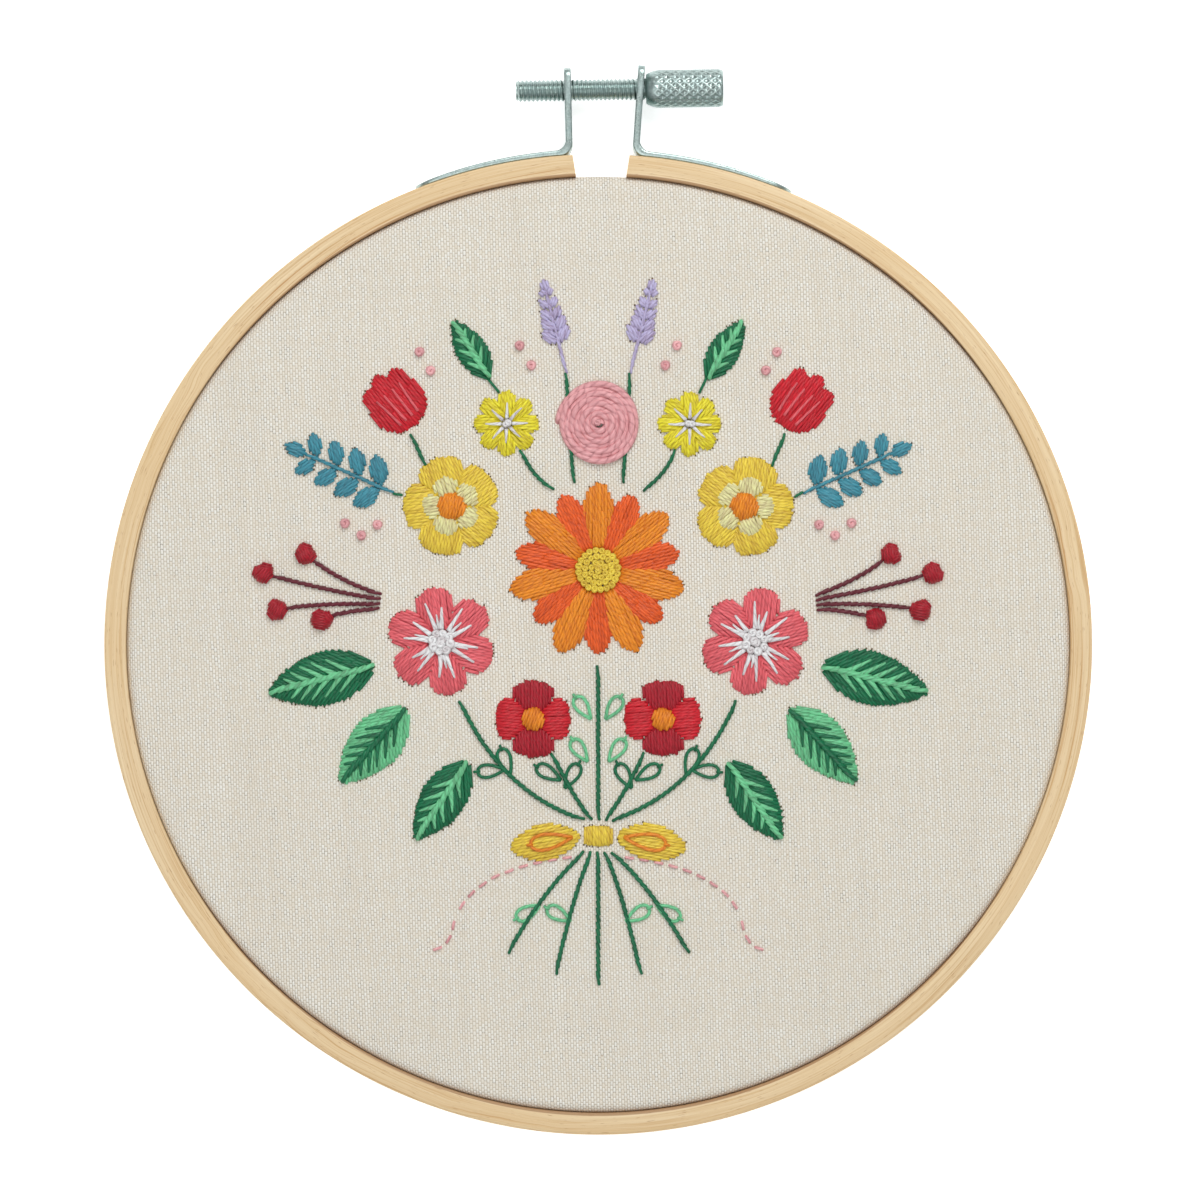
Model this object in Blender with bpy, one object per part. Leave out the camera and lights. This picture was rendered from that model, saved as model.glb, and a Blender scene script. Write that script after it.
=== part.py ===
"""Embroidered cotton cloth in a round bamboo hoop with a thumb-screw clamp, lying on its back.

Sizes are in metres: a named size is written in millimetres times MM. X runs to the right as the
embroidery is looked at, Y runs up to the clamp, and Z rises out of the cloth. The floor is Z = 0.
Every piece is modelled round the hoop's centre and parented to the empty "hoop", which moves that
centre down in Y, so that the origin lies at the middle of the whole outline.
"""

import math

import bmesh
import bpy
from mathutils import Matrix, Vector

MM = 0.001
GAP = 0.3 * MM  # clearance between neighbouring pieces

# Rings. Radii are means: the hoop is drawn slightly wide, by OVAL on the X radius and less on the Y one.
RING_STEPS = 76
OVAL = 0.35 * MM
RING_RADIUS = 92.55 * MM  # outside of the outer ring
RING_WALL = 4.1 * MM
RING_DEPTH = 9.0 * MM
SPLIT_OUTER = (-4.83 * MM, 5.90 * MM)  # X of the split's two ends at the ring's outside
SPLIT_INNER = (-4.17 * MM, 5.28 * MM)  # and at its inside

# Cloth, one sheet drawn over the inner ring and held between the rings
CLOTH_THICK = 1.0 * MM
CLOTH_RECESS = 0.3 * MM  # the cloth's face lies this far below the outer ring's face
CLOTH_TURN = 1.8 * MM  # outer radius of the turn from the face to the skirt
CLOTH_HEM_Z = 0.5 * MM

CLOTH_FACE = RING_DEPTH - CLOTH_RECESS
SKIRT_OUTER = RING_RADIUS - RING_WALL - GAP
SKIRT_INNER = SKIRT_OUTER - CLOTH_THICK
INNER_RADIUS = SKIRT_INNER - GAP  # outside of the inner ring
INNER_TOP = CLOTH_FACE - CLOTH_THICK - GAP

# Clamp: two bent steel strips on the outer ring and the screw through their lugs
STRIP_WIDTH = 7.5 * MM
FOOT_THICK = 1.03 * MM
LUG_THICK = 1.3 * MM
BEND_THICK = 1.5 * MM
TONGUE_THICK = 0.7 * MM
BEND_RADIUS = 2.2 * MM
BEND_STEPS = 6
FOOT_STEPS = 6
STRIP_CHAMFER = 0.15 * MM
LUG_CORNER = 1.6 * MM
LUG_FOOT_Y = 94.3 * MM  # height at which the lugs' X is given
CLAMP_MID_Z = RING_DEPTH / 2
# columns: side, X of the lug's middle at LUG_FOOT_Y, outward lean, Y of the lug's top, foot's end angle
BRACKETS = (
    ("left", -5.46 * MM, math.radians(1.46), 108.6 * MM, math.radians(90 + 21.65)),
    ("right", 7.17 * MM, math.radians(3.87), 109.1 * MM, math.radians(90 - 22.95)),
)

# Thumb screw, along its own X from the shank's free end
SCREW_END = (-15.51 * MM, 104.45 * MM)
SCREW_TILT = math.radians(0.9)
SHANK_RADIUS = 2.07 * MM
THREAD_PITCH = 0.8 * MM
THREAD_DEPTH = 0.32 * MM
THREAD_LENGTH = 24.0 * MM
THREAD_SIDES = 12
SHANK_LENGTH = 26.0 * MM  # its last stretch is inside the head
HEAD_START = 24.55 * MM
HEAD_END = 39.08 * MM
HEAD_RADIUS = 3.58 * MM
SHOULDER_RADIUS = 2.72 * MM
KNURL_START = 26.6 * MM
KNURL_ROWS = 14
KNURL_POINTS = 15
KNURL_DEPTH = 0.24 * MM
HEAD_CHAMFER = 0.35 * MM
HEAD_CROWN = 0.45 * MM  # how far the end face stands proud of the chamfer
HOLE_RADIUS = SHANK_RADIUS + GAP
HOLE_SIDES = 20

# The hoop's centre, so that the outline from the ring's bottom to the higher lug is centred on Y = 0
HIGHEST_LUG = max(row[3] for row in BRACKETS)
HOOP_Y = (RING_RADIUS - OVAL - HIGHEST_LUG) / 2

# Raised thread pads of the embroidery
PAD_Z = CLOTH_FACE + GAP
PAD_EDGE = 0.3 * MM  # height of a pad's upright edge
PAD_CROWN = 0.8 * MM
PAD_SHOULDER = 0.82  # a flower's crown is reached at this share of its outline
PAD_VALLEY = 0.45  # how much lower it is between two petals, as a share
PAD_MIDDLE = 0.18  # radius of the flat middle of a flower without a centre, as a share
STEM_HALF = 0.65 * MM
STEM_RISE = 0.6 * MM
BERRY_RADIUS = 2.2 * MM
BERRY_RISE = 2.3 * MM

COLOURS = {
    # name: sRGB red, green, blue
    "bamboo": (0.90, 0.78, 0.60),
    "canvas": (0.87, 0.85, 0.80),
    "steel": (0.70, 0.74, 0.73),
    "orange": (0.96, 0.52, 0.09),
    "yellow": (0.92, 0.76, 0.26),
    "lemon": (0.92, 0.84, 0.36),
    "coral": (0.92, 0.42, 0.45),
    "pink": (0.93, 0.66, 0.66),
    "white": (0.93, 0.92, 0.90),
    "red": (0.84, 0.05, 0.13),
    "crimson": (0.62, 0.03, 0.11),
    "burgundy": (0.42, 0.06, 0.12),
    "teal": (0.27, 0.53, 0.64),
    "lilac": (0.73, 0.66, 0.82),
    "dark_green": (0.06, 0.40, 0.23),
    "light_green": (0.36, 0.74, 0.53),
}

# Round motifs. A name with "*" is made twice, to the right and mirrored to the left.
# columns: name, X, Y, radius, petals, points a petal, notch, turn in degrees, centre's radius, its colours
FLOWERS = (
    ("daisy", 0, 14, 17.0, 14, 4, 0.24, 90, 4.4, "orange", "yellow"),
    ("cosmos_*", 29.5, 0.5, 10.2, 6, 6, 0.28, 20, 3.0, "coral", "white"),
    ("primrose_*", 27.5, 26, 9.4, 5, 7, 0.20, 0, 2.8, "yellow", "orange"),
    ("pansy_*", 12.2, -14, 7.2, 4, 7, 0.20, 90, 2.2, "crimson", "orange"),
    ("aster_*", 17.2, 41.5, 6.2, 8, 4, 0.24, 0, 0, "lemon", None),
    ("rose", 0, 41.5, 8.2, 9, 3, 0.07, 0, 0, "pink", None),
)
# The tulips: X and Y of the cup's middle, its radius, and how far it is turned from +Y towards +X
TULIP = (37.5, 45.0, 7.0, 40)
TULIP_TIPS = 36.0  # degrees between the three tips
TULIP_CUP = 0.80  # the cup's radius as a share of the tips'

# Long motifs, each from its root (X, Y) in a direction turned from +Y towards +X.
# columns: name, X, Y, turn in degrees, length, half-width, outline, colour
SPRAYS = (
    ("leaf_top_*", 20.5, 50, 32, 13, 2.9, "leaf", "dark_green"),
    ("leaf_side_*", 42, -4, 104, 21, 5.0, "leaf", "dark_green"),
    ("leaf_middle_*", 36, -12, 138, 19, 4.8, "leaf", "light_green"),
    ("leaf_low_*", 24.5, -22, 146, 18, 4.2, "leaf", "dark_green"),
    ("lavender_*", 6, 51, 14, 18, 3.0, "spike", "lilac"),
    ("bow_*", 3.6, -36, 100, 13, 3.4, "loop", "yellow"),
)

SPRAY_STATIONS = {"leaf": 9, "loop": 7, "spike": 18}
SPIKE_BARE = 0.3  # share of a spike's length that is bare stalk
SPIKE_BUDS = 5
SPIKE_STALK = 0.45 * MM  # half the stalk's width

# Eucalyptus sprigs: the root, the turn, the stalk's length, and the lowest leaves' length and half-width
SPRIG = (38.5, 28.5, 66, 22, 5.8, 1.65)
SPRIG_PAIRS = 4
SPRIG_FIRST = 0.12  # how far up the stalk the lowest pair is, as a share of the stalk
SPRIG_STEP = 0.20  # and the share from one pair to the next
SPRIG_TAPER = 0.3  # how much the leaves shrink up the sprig
SPRIG_LEAF_LEAN = math.radians(55)
SPRIG_STALK = 0.45  # half the stalk's width

# Berry twigs: the root, and each berry's place
TWIG_ROOT = (41, 8)
BERRIES = ((52.0, 4.8), (60.5, 6.5), (63.0, 13.5), (55.0, 17.0))
BERRY_STANDOFF = 2.7  # from a berry's middle to its stalk's end, in millimetres
TWIG_RISE = 0.12  # how far the twig's middle line rises for each unit outwards
TWIG_SPREAD = 0.3  # share of a stalk's whole spread that its control point has
TWIG_HALF = 0.5 * MM

# Stalks of the posy above and below the bow: X and Y of each end, and how far it bends outwards.
# Then the Y of the two bars that the stalks leave, and the bow's knot between them.
STALKS_ABOVE = ((-26.0, -10.6, 1), (-8.7, -20.4, 0.4), (0, -4.0, 0), (8.7, -20.4, 0.4), (26.0, -10.6, 1))
STALKS_BELOW = ((-17.0, -58.0, 0.5), (-8.0, -62.0, 0.5), (0, -64.0, 0), (8.0, -62.0, 0.5), (17.0, -58.0, 0.5))
STALKS_TOP_Y = -33.0
STALKS_LOW_Y = -39.0
KNOT_HALF = (2.7, 1.9)
KNOT_Y = -36.0


def clear_scene():
    """Remove every object that the file starts with."""
    for thing in list(bpy.data.objects):
        bpy.data.objects.remove(thing)


def linear(channel):
    """An sRGB channel as the linear value that a shader takes."""
    return channel / 12.92 if channel <= 0.04045 else ((channel + 0.055) / 1.055) ** 2.4


def material(name, roughness=0.8, metallic=0.0):
    """The Principled material of one of COLOURS, made once."""
    found = bpy.data.materials.get(name)
    if found:
        return found
    made = bpy.data.materials.new(name)
    made.use_nodes = True
    colour = [linear(c) for c in COLOURS[name]] + [1.0]
    made.diffuse_color = colour
    shader = made.node_tree.nodes["Principled BSDF"]
    shader.inputs["Base Color"].default_value = colour
    shader.inputs["Roughness"].default_value = roughness
    shader.inputs["Metallic"].default_value = metallic
    return made


def place(name, form, finish, parent, smooth_angle=40):
    """Turn a bmesh into a named object under its parent, with its faces pointing out."""
    bmesh.ops.remove_doubles(form, verts=form.verts, dist=0.001 * MM)
    bmesh.ops.recalc_face_normals(form, faces=form.faces)
    mesh = bpy.data.meshes.new(name)
    form.to_mesh(mesh)
    form.free()
    mesh.shade_smooth()
    mesh.set_sharp_from_angle(angle=math.radians(smooth_angle))
    mesh.materials.append(finish)
    thing = bpy.data.objects.new(name, mesh)
    bpy.context.scene.collection.objects.link(thing)
    thing.parent = parent
    return thing


def empty(name, location, parent=None, turn=0.0):
    """An empty that carries pieces, turned about Z."""
    thing = bpy.data.objects.new(name, None)
    bpy.context.scene.collection.objects.link(thing)
    thing.location = location
    thing.rotation_euler = (0, 0, turn)
    thing.parent = parent
    return thing


def operand(thing):
    """Keep a body out of the model: it only takes part in a Boolean."""
    thing.hide_render = True
    thing.display_type = "WIRE"
    return thing


def combine(thing, other, operation):
    """Join or cut a body with another one, by an exact Boolean."""
    modifier = thing.modifiers.new(operation.title(), "BOOLEAN")
    modifier.operation = operation
    modifier.solver = "EXACT"
    modifier.object = operand(other)


def loft(loops, closed=False):
    """A body through loops of equally many points: a closed round of them, or capped at both ends."""
    form = bmesh.new()
    rings = [[form.verts.new(p) for p in loop] for loop in loops]
    pairs = list(zip(rings, rings[1:]))
    if closed:
        pairs.append((rings[-1], rings[0]))
    else:
        form.faces.new(rings[0])
        form.faces.new(list(reversed(rings[-1])))
    for low, high in pairs:
        count = len(low)
        for i in range(count):
            j = (i + 1) % count
            form.faces.new((low[i], low[j], high[j], high[i]))
    return form


def oval(radius, angle):
    """The point of the hoop's plan at a mean radius and an angle from +X."""
    return (radius + OVAL) * math.cos(angle), (radius - OVAL) * math.sin(angle)


def rounded_section(inner, outer, low, high, fillets, steps=2):
    """A ring's section as (radius, height) points, its four corners rounded, from the low inner one on."""
    corners = ((inner, low, 1, 1), (outer, low, -1, 1), (outer, high, -1, -1), (inner, high, 1, -1))
    points = []
    for index, ((radius, height, in_r, in_z), fillet) in enumerate(zip(corners, fillets)):
        centre_r = radius + in_r * fillet
        centre_z = height + in_z * fillet
        start = math.radians(180 + 90 * index)
        for step in range(steps + 1):
            turn = start + math.radians(90) * step / steps
            points.append((centre_r + fillet * math.cos(turn), centre_z + fillet * math.sin(turn)))
    return points


def build_outer_ring(parent):
    """The split ring. A section point's own radius sets its angle at the split, so the ends are flat."""
    section = rounded_section(
        RING_RADIUS - RING_WALL,
        RING_RADIUS,
        0,
        RING_DEPTH,
        (0.5 * MM, 0.7 * MM, 0.7 * MM, 0.4 * MM),
    )

    def split_angle(radius, side):
        share = (RING_RADIUS - radius) / RING_WALL
        x = SPLIT_OUTER[side] * (1 - share) + SPLIT_INNER[side] * share
        return math.acos(x / (radius + OVAL))

    loops = []
    for step in range(RING_STEPS + 1):
        loop = []
        for radius, height in section:
            start = split_angle(radius, 0)
            end = split_angle(radius, 1) + 2 * math.pi
            x, y = oval(radius, start + (end - start) * step / RING_STEPS)
            loop.append((x, y, height))
        loops.append(loop)
    return place("outer_ring", loft(loops), material("bamboo", 0.55), parent)


def oval_ring(radius, height):
    """A closed ring of points round the hoop at a mean radius and a height."""
    return [(*oval(radius, 2 * math.pi * step / RING_STEPS), height) for step in range(RING_STEPS)]


def build_inner_ring(parent):
    """The closed ring inside the cloth, its front edge rounded where the cloth turns over it."""
    section = rounded_section(
        INNER_RADIUS - RING_WALL,
        INNER_RADIUS,
        0,
        INNER_TOP,
        (0.5 * MM, 0.5 * MM, CLOTH_TURN - CLOTH_THICK - GAP, 0.5 * MM),
    )
    form = loft([oval_ring(*point) for point in section], closed=True)
    return place("inner_ring", form, material("bamboo", 0.55), parent)


def build_cloth(parent):
    """One sheet: a flat face, a turn over the inner ring, and a skirt down between the two rings."""

    def turn(radius, steps):
        """Points round the turn, from the face to the skirt."""
        points = []
        for step in range(steps + 1):
            angle = math.pi / 2 * step / steps
            across = SKIRT_OUTER - CLOTH_TURN + radius * math.sin(angle)
            points.append((across, CLOTH_FACE - CLOTH_TURN + radius * math.cos(angle)))
        return points

    outside = turn(CLOTH_TURN, 4)
    hem = [(SKIRT_OUTER, CLOTH_HEM_Z), (SKIRT_INNER, CLOTH_HEM_Z)]
    inside = turn(CLOTH_TURN - CLOTH_THICK, 2)
    profile = outside + hem + inside[::-1]
    return place("cloth", loft([oval_ring(*point) for point in profile]), material("canvas", 0.95), parent)


def strip_loop(point, normal, half_thick, half_width):
    """One chamfered rectangular section of a bent strip, across its run."""
    cut = STRIP_CHAMFER
    corners = (
        (half_thick, half_width - cut),
        (half_thick - cut, half_width),
        (-half_thick + cut, half_width),
        (-half_thick, half_width - cut),
        (-half_thick, -half_width + cut),
        (-half_thick + cut, -half_width),
        (half_thick - cut, -half_width),
        (half_thick, -half_width + cut),
    )
    return [(point.x + normal.x * a, point.y + normal.y * a, CLAMP_MID_Z + b) for a, b in corners]


def bracket_loops(lug_x, lean, lug_top, foot_end):
    """Sections of one bracket, from the lug's top down, round the bend and along the foot to its tongue.

    The lug's middle line and the foot's meet at the corner, which the bend rounds off.
    """
    side = 1 if lug_x > 0 else -1
    up = Vector((side * math.sin(lean), math.cos(lean)))
    foot_radius = RING_RADIUS + GAP + FOOT_THICK / 2
    corner_x = lug_x - up.x / up.y * (LUG_FOOT_Y - foot_radius)
    corner_angle = math.acos(corner_x / (foot_radius + OVAL))
    corner = Vector(oval(foot_radius, corner_angle))
    along = Vector((side * math.sin(corner_angle), -side * math.cos(corner_angle)))
    opening = up.angle(along)
    reach = BEND_RADIUS / math.tan(opening / 2)
    bend_middle = corner + (up + along).normalized() * (BEND_RADIUS / math.sin(opening / 2))
    half = STRIP_WIDTH / 2
    loops = []
    top = corner + up * ((lug_top - corner.y) / up.y)
    lug_normal = Vector((up.y, -up.x)) * side
    lug_length = (top - corner).length - reach
    for drop in (0, 0.12, 0.4, 1):
        fall = drop * LUG_CORNER
        inset = LUG_CORNER - math.sqrt(LUG_CORNER**2 - (LUG_CORNER - fall) ** 2)
        loops.append(strip_loop(top - up * fall, lug_normal, LUG_THICK / 2, half - inset))
    loops.append(strip_loop(top - up * lug_length, lug_normal, LUG_THICK / 2, half))
    start = corner + up * reach - bend_middle
    for step in range(1, BEND_STEPS + 1):
        share = step / BEND_STEPS
        spoke = Matrix.Rotation(side * (math.pi - opening) * share, 2) @ start
        thick = LUG_THICK + (FOOT_THICK - LUG_THICK) * share
        thick += (BEND_THICK - (LUG_THICK + FOOT_THICK) / 2) * math.sin(math.pi * share)
        loops.append(strip_loop(bend_middle + spoke, -spoke.normalized(), thick / 2, half))
    foot_start = corner_angle - side * reach / foot_radius
    tongue = half / foot_radius
    straight_end = foot_end + side * tongue
    step = (straight_end - foot_start) / FOOT_STEPS
    straight = [(foot_start + step * i, 0) for i in range(1, FOOT_STEPS + 1)]
    round_end = [(straight_end - side * tongue * past, past) for past in (0.35, 0.65, 0.88, 0.98)]
    for angle, past in straight + round_end:
        share = (angle - foot_start) / (foot_end - foot_start)
        thick = FOOT_THICK + (TONGUE_THICK - FOOT_THICK) * share**3
        radius = RING_RADIUS + GAP + thick / 2
        normal = Vector((math.cos(angle), math.sin(angle)))
        width = half * math.sqrt(1 - past**2)
        loops.append(strip_loop(Vector(oval(radius, angle)), normal, thick / 2, width))
    return loops


def build_bracket(parent, axis, side, lug_x, lean, lug_top, foot_end):
    """A bent strip with a round hole through its lug along the screw's axis."""
    name = f"bracket_{side}"
    form = loft(bracket_loops(lug_x, lean, lug_top, foot_end))
    strip = place(name, form, material("steel", 0.4, 1.0), parent, 25)
    cutter = bmesh.new()
    bmesh.ops.create_cone(
        cutter,
        cap_ends=True,
        segments=HOLE_SIDES,
        radius1=HOLE_RADIUS,
        radius2=HOLE_RADIUS,
        depth=4 * LUG_THICK,
    )
    cutter.transform(Matrix.Rotation(math.radians(90), 4, "Y"))
    hole = place(f"{name}_hole", cutter, material("steel"), axis)
    hole.location.x = lug_x - SCREW_END[0]
    combine(strip, hole, "DIFFERENCE")
    return strip


def thread_form():
    """The shank: crest and root lines run on as one helix, and plain end rings close it."""
    turns = int(THREAD_LENGTH / THREAD_PITCH)
    half_pitch = THREAD_PITCH / 2
    lead_in = 0.15 * MM
    chamfer = 0.7 * MM
    form = bmesh.new()

    def point(x, radius, step):
        angle = 2 * math.pi * step / THREAD_SIDES
        return form.verts.new((x, radius * math.cos(angle), radius * math.sin(angle)))

    def ring(x, radius):
        return [point(x, radius, step) for step in range(THREAD_SIDES)]

    def bridge(low, high):
        for i in range(THREAD_SIDES):
            j = (i + 1) % THREAD_SIDES
            form.faces.new((low[i], low[j], high[j], high[i]))

    rows = []
    for row in range(2 * turns):
        crest = row % 2
        line = []
        for step in range(THREAD_SIDES):
            x = lead_in + half_pitch * row + THREAD_PITCH * step / THREAD_SIDES
            radius = SHANK_RADIUS if crest else SHANK_RADIUS - THREAD_DEPTH
            radius = min(radius, SHANK_RADIUS - THREAD_DEPTH + x * THREAD_DEPTH / chamfer)
            line.append(point(x, radius, step))
        rows.append(line)
    for low, high in zip(rows, rows[1:]):
        for i in range(THREAD_SIDES - 1):
            form.faces.new((low[i], low[i + 1], high[i + 1], high[i]))
    last = THREAD_SIDES - 1
    for row in range(2 * turns - 3):
        form.faces.new((rows[row][last], rows[row + 2][0], rows[row + 3][0], rows[row + 1][last]))
    core = SHANK_RADIUS - THREAD_DEPTH
    free_end = ring(0, core - 0.05 * MM)
    form.faces.new(free_end)
    run_out = ring(lead_in + THREAD_PITCH * (turns + 1), core)
    inner_end = ring(SHANK_LENGTH, core)
    form.faces.new(list(reversed(inner_end)))
    bridge(run_out, inner_end)
    for i in range(last):
        form.faces.new((free_end[i], free_end[i + 1], rows[0][i + 1], rows[0][i]))
        form.faces.new((rows[-1][i], rows[-1][i + 1], run_out[i + 1], run_out[i]))
    form.faces.new((free_end[last], free_end[0], rows[0][0], rows[1][0], rows[2][0], rows[0][last]))
    form.faces.new(
        (rows[-3][last], rows[-1][0], run_out[0], run_out[last], rows[-1][last], rows[-2][last])
    )
    return form


def head_form():
    """The head: a domed shoulder, crossing knurl ridges with pits between them, and a crowned end."""
    sides = 2 * KNURL_POINTS
    form = bmesh.new()

    def ring(x, radius, lows=None):
        made = []
        for i in range(sides):
            angle = 2 * math.pi * i / sides
            r = radius - (KNURL_DEPTH if lows is not None and (i + lows) % 2 else 0)
            made.append(form.verts.new((x, r * math.cos(angle), r * math.sin(angle))))
        return made

    rings = [ring(HEAD_START, SHOULDER_RADIUS)]
    dome_steps = 3
    for step in range(1, dome_steps):
        swing = math.pi / 2 * step / dome_steps
        x = HEAD_START + (KNURL_START - HEAD_START) * (1 - math.cos(swing))
        radius = SHOULDER_RADIUS + (HEAD_RADIUS - SHOULDER_RADIUS) * math.sin(swing)
        rings.append(ring(x, radius))
    knurl_end = HEAD_END - HEAD_CROWN - HEAD_CHAMFER
    for row in range(KNURL_ROWS + 1):
        x = KNURL_START + (knurl_end - KNURL_START) * row / KNURL_ROWS
        rings.append(ring(x, HEAD_RADIUS, row))
    rings.append(ring(HEAD_END - HEAD_CROWN, HEAD_RADIUS - HEAD_CHAMFER / 2))
    rings.append(ring(HEAD_END - HEAD_CROWN / 3, HEAD_RADIUS * 0.6))
    rings.append(ring(HEAD_END, HEAD_RADIUS * 0.2))
    form.faces.new(rings[0])
    form.faces.new(list(reversed(rings[-1])))
    for row, (low, high) in enumerate(zip(rings, rings[1:])):
        for i in range(sides):
            j = (i + 1) % sides
            if (i + row - dome_steps) % 2:
                form.faces.new((low[i], low[j], high[i]))
                form.faces.new((low[j], high[j], high[i]))
            else:
                form.faces.new((low[i], low[j], high[j]))
                form.faces.new((low[i], high[j], high[i]))
    return form


def build_thumb_screw(axis):
    """Head and threaded shank as one rigid piece on the screw's axis."""
    steel = material("steel", 0.4, 1.0)
    head = place("thumb_screw", head_form(), steel, axis, 20)
    shank = place("thumb_screw_shank", thread_form(), steel, axis, 30)
    combine(head, shank, "UNION")
    return head


def bezier(start, control, end, count):
    """Points of a quadratic curve, its two ends included."""
    points = []
    for i in range(count):
        t = i / (count - 1)
        points.append(Vector(start) * (1 - t) ** 2 + Vector(control) * 2 * t * (1 - t) + Vector(end) * t**2)
    return points


def petal_share(angle, petals, notch):
    """How far an outline of round petals reaches at an angle, and how high its petal stands, as shares."""
    top = abs(math.cos(petals * angle / 2)) ** 0.6
    return 1 - notch * (1 - top), top


def tulip_share(angle):
    """The same for a cup with three tips about angle 0."""
    off = abs(math.degrees(math.remainder(angle, 2 * math.pi)))
    if off <= 1.5 * TULIP_TIPS:
        tip = abs(math.cos(math.pi * off / TULIP_TIPS))
        return TULIP_CUP + (1 - TULIP_CUP) * tip, tip
    return TULIP_CUP - 0.1 * (off - 1.5 * TULIP_TIPS) / (180 - 1.5 * TULIP_TIPS), 1


def flower_form(radius, share_at, count, turn, hole):
    """A domed pad whose outline is told by share_at, open in the middle where it has a hole."""
    outline = []
    for i in range(count):
        angle = 2 * math.pi * i / count
        share, top = share_at(angle)
        outline.append((angle + turn, radius * share, top))

    def ring(scale, height, valley=0.0):
        loop = []
        for angle, reach, top in outline:
            z = PAD_Z + height * (1 - valley * (1 - top))
            loop.append((scale * reach * math.cos(angle), scale * reach * math.sin(angle), z))
        return loop

    def round_ring(size, height):
        return [(size * math.cos(a), size * math.sin(a), PAD_Z + height) for a, _, _ in outline]

    loops = [ring(1, 0), ring(1, PAD_EDGE), ring(PAD_SHOULDER, PAD_CROWN, PAD_VALLEY)]
    if hole:
        loops += [round_ring(hole, 0.7 * PAD_CROWN), round_ring(hole, 0)]
        return loft(loops, closed=True)
    loops.append(round_ring(radius * PAD_MIDDLE, PAD_CROWN * 1.15))
    return loft(loops)


def dome_form(radius, rise, sides):
    """A low dome, flat underneath."""
    loops = []
    for share, height in ((1.0, 0.0), (1.0, 0.35), (0.72, 0.85), (0.3, 1.0)):
        loop = []
        for i in range(sides):
            angle = 2 * math.pi * i / sides
            reach = radius * share
            loop.append((reach * math.cos(angle), reach * math.sin(angle), PAD_Z + rise * height))
        loops.append(loop)
    return loft(loops)


def half_width(outline, share, width):
    """Half the width of a long motif at a share of its length: a leaf, a bow's loop, or a spike of buds."""
    if outline == "leaf":
        return max(0.12 * MM, width * math.sin(math.pi * share**0.85) ** 0.8)
    if outline == "loop":
        return 0.6 * MM + (width - 0.6 * MM) * math.sin(math.pi * share) ** 0.8
    if share <= SPIKE_BARE:
        return SPIKE_STALK
    past = (share - SPIKE_BARE) / (1 - SPIKE_BARE)
    buds = 0.55 + 0.45 * abs(math.sin(math.pi * SPIKE_BUDS * past))
    return SPIKE_STALK + (width - SPIKE_STALK) * buds * (1 - 0.75 * past**1.5)


def spray_form(length, width, outline):
    """A long pad along +Y from its root, with a groove down its middle."""
    count = SPRAY_STATIONS[outline]
    loops = []
    for i in range(count):
        share = i / (count - 1)
        w = half_width(outline, share, width)
        crown = PAD_CROWN * min(1, 0.45 + w / width)
        y = length * share
        section = ((-w, 0), (-0.6 * w, crown), (0, crown * 0.75), (0.6 * w, crown), (w, 0))
        loops.append([(x, y, PAD_Z + z) for x, z in section])
    return loft(loops)


def outline_form(outline, rise):
    """A flat pad with an outline given by its points."""
    form = bmesh.new()
    low = [form.verts.new((x, y, PAD_Z)) for x, y in outline]
    high = [form.verts.new((x, y, PAD_Z + rise)) for x, y in outline]
    form.faces.new(low)
    form.faces.new(list(reversed(high)))
    for i in range(len(outline)):
        j = (i + 1) % len(outline)
        form.faces.new((low[i], low[j], high[j], high[i]))
    return form


def sprig_outline(length, leaf, half):
    """A straight stalk with pairs of round leaves and one at its tip, along +Y from its root."""

    def leaf_edge(foot, lean, size, width):
        ahead = Vector((math.sin(lean), math.cos(lean)))
        left = Vector((-ahead.y, ahead.x))
        middle = foot + ahead * size / 2
        edge = []
        for degrees in range(-150, 151, 50):
            swing = math.radians(degrees)
            edge.append(middle + ahead * (size / 2 * math.cos(swing)) + left * (width * math.sin(swing)))
        return edge

    right = [Vector((SPRIG_STALK, 0))]
    for pair in range(SPRIG_PAIRS):
        shrink = 1 - SPRIG_TAPER * pair / SPRIG_PAIRS
        foot = Vector((SPRIG_STALK, length * (SPRIG_FIRST + SPRIG_STEP * pair)))
        right += leaf_edge(foot, SPRIG_LEAF_LEAN, leaf * shrink, half * shrink)
    end = 1 - SPRIG_TAPER
    tip = leaf_edge(Vector((0, length - leaf * end)), 0, leaf * end, half * end)
    left_side = [Vector((-point.x, point.y)) for point in reversed(right)]
    return [point * MM for point in right + tip + left_side]


def fan_outline(base_y, half, stalks, outward):
    """The outline of stalks that leave one short bar side by side.

    outward is 1 where they rise and -1 where they hang. Each stalk is (its end, its control point).
    """
    steps = 7
    bar_end = len(stalks) * half
    points = []
    for index, (end, control) in enumerate(stalks):
        base = Vector(((2 * index + 1 - len(stalks)) * half, base_y))
        path = bezier(base, control, end, steps)
        left = []
        right = []
        for k, point in enumerate(path):
            ahead = path[min(k + 1, steps - 1)] - path[max(k - 1, 0)]
            across = Vector((-ahead.y, ahead.x)).normalized() * half * outward
            if k == 0:
                across = Vector((-half, 0))
            left.append(point + across)
            right.append(point - across)
        points += left + right[:0:-1]
    points.append(Vector((bar_end, base_y)))
    points.append(Vector((bar_end, base_y - outward * half)))
    points.append(Vector((-bar_end, base_y - outward * half)))
    return points


def stalk_fan(name, base_y, ends, outward, finish, parent):
    """The posy's stalks above or below the bow, as one pad."""
    stalks = []
    for x, y, bend in ends:
        end = Vector((x, y)) * MM
        middle = Vector((x * (0.5 + 0.2 * bend), base_y + (y - base_y) * (0.5 - 0.28 * bend))) * MM
        stalks.append((end, middle))
    outline = fan_outline(base_y * MM, STEM_HALF, stalks, outward)
    return place(name, outline_form(outline, STEM_RISE), finish, parent)


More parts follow.
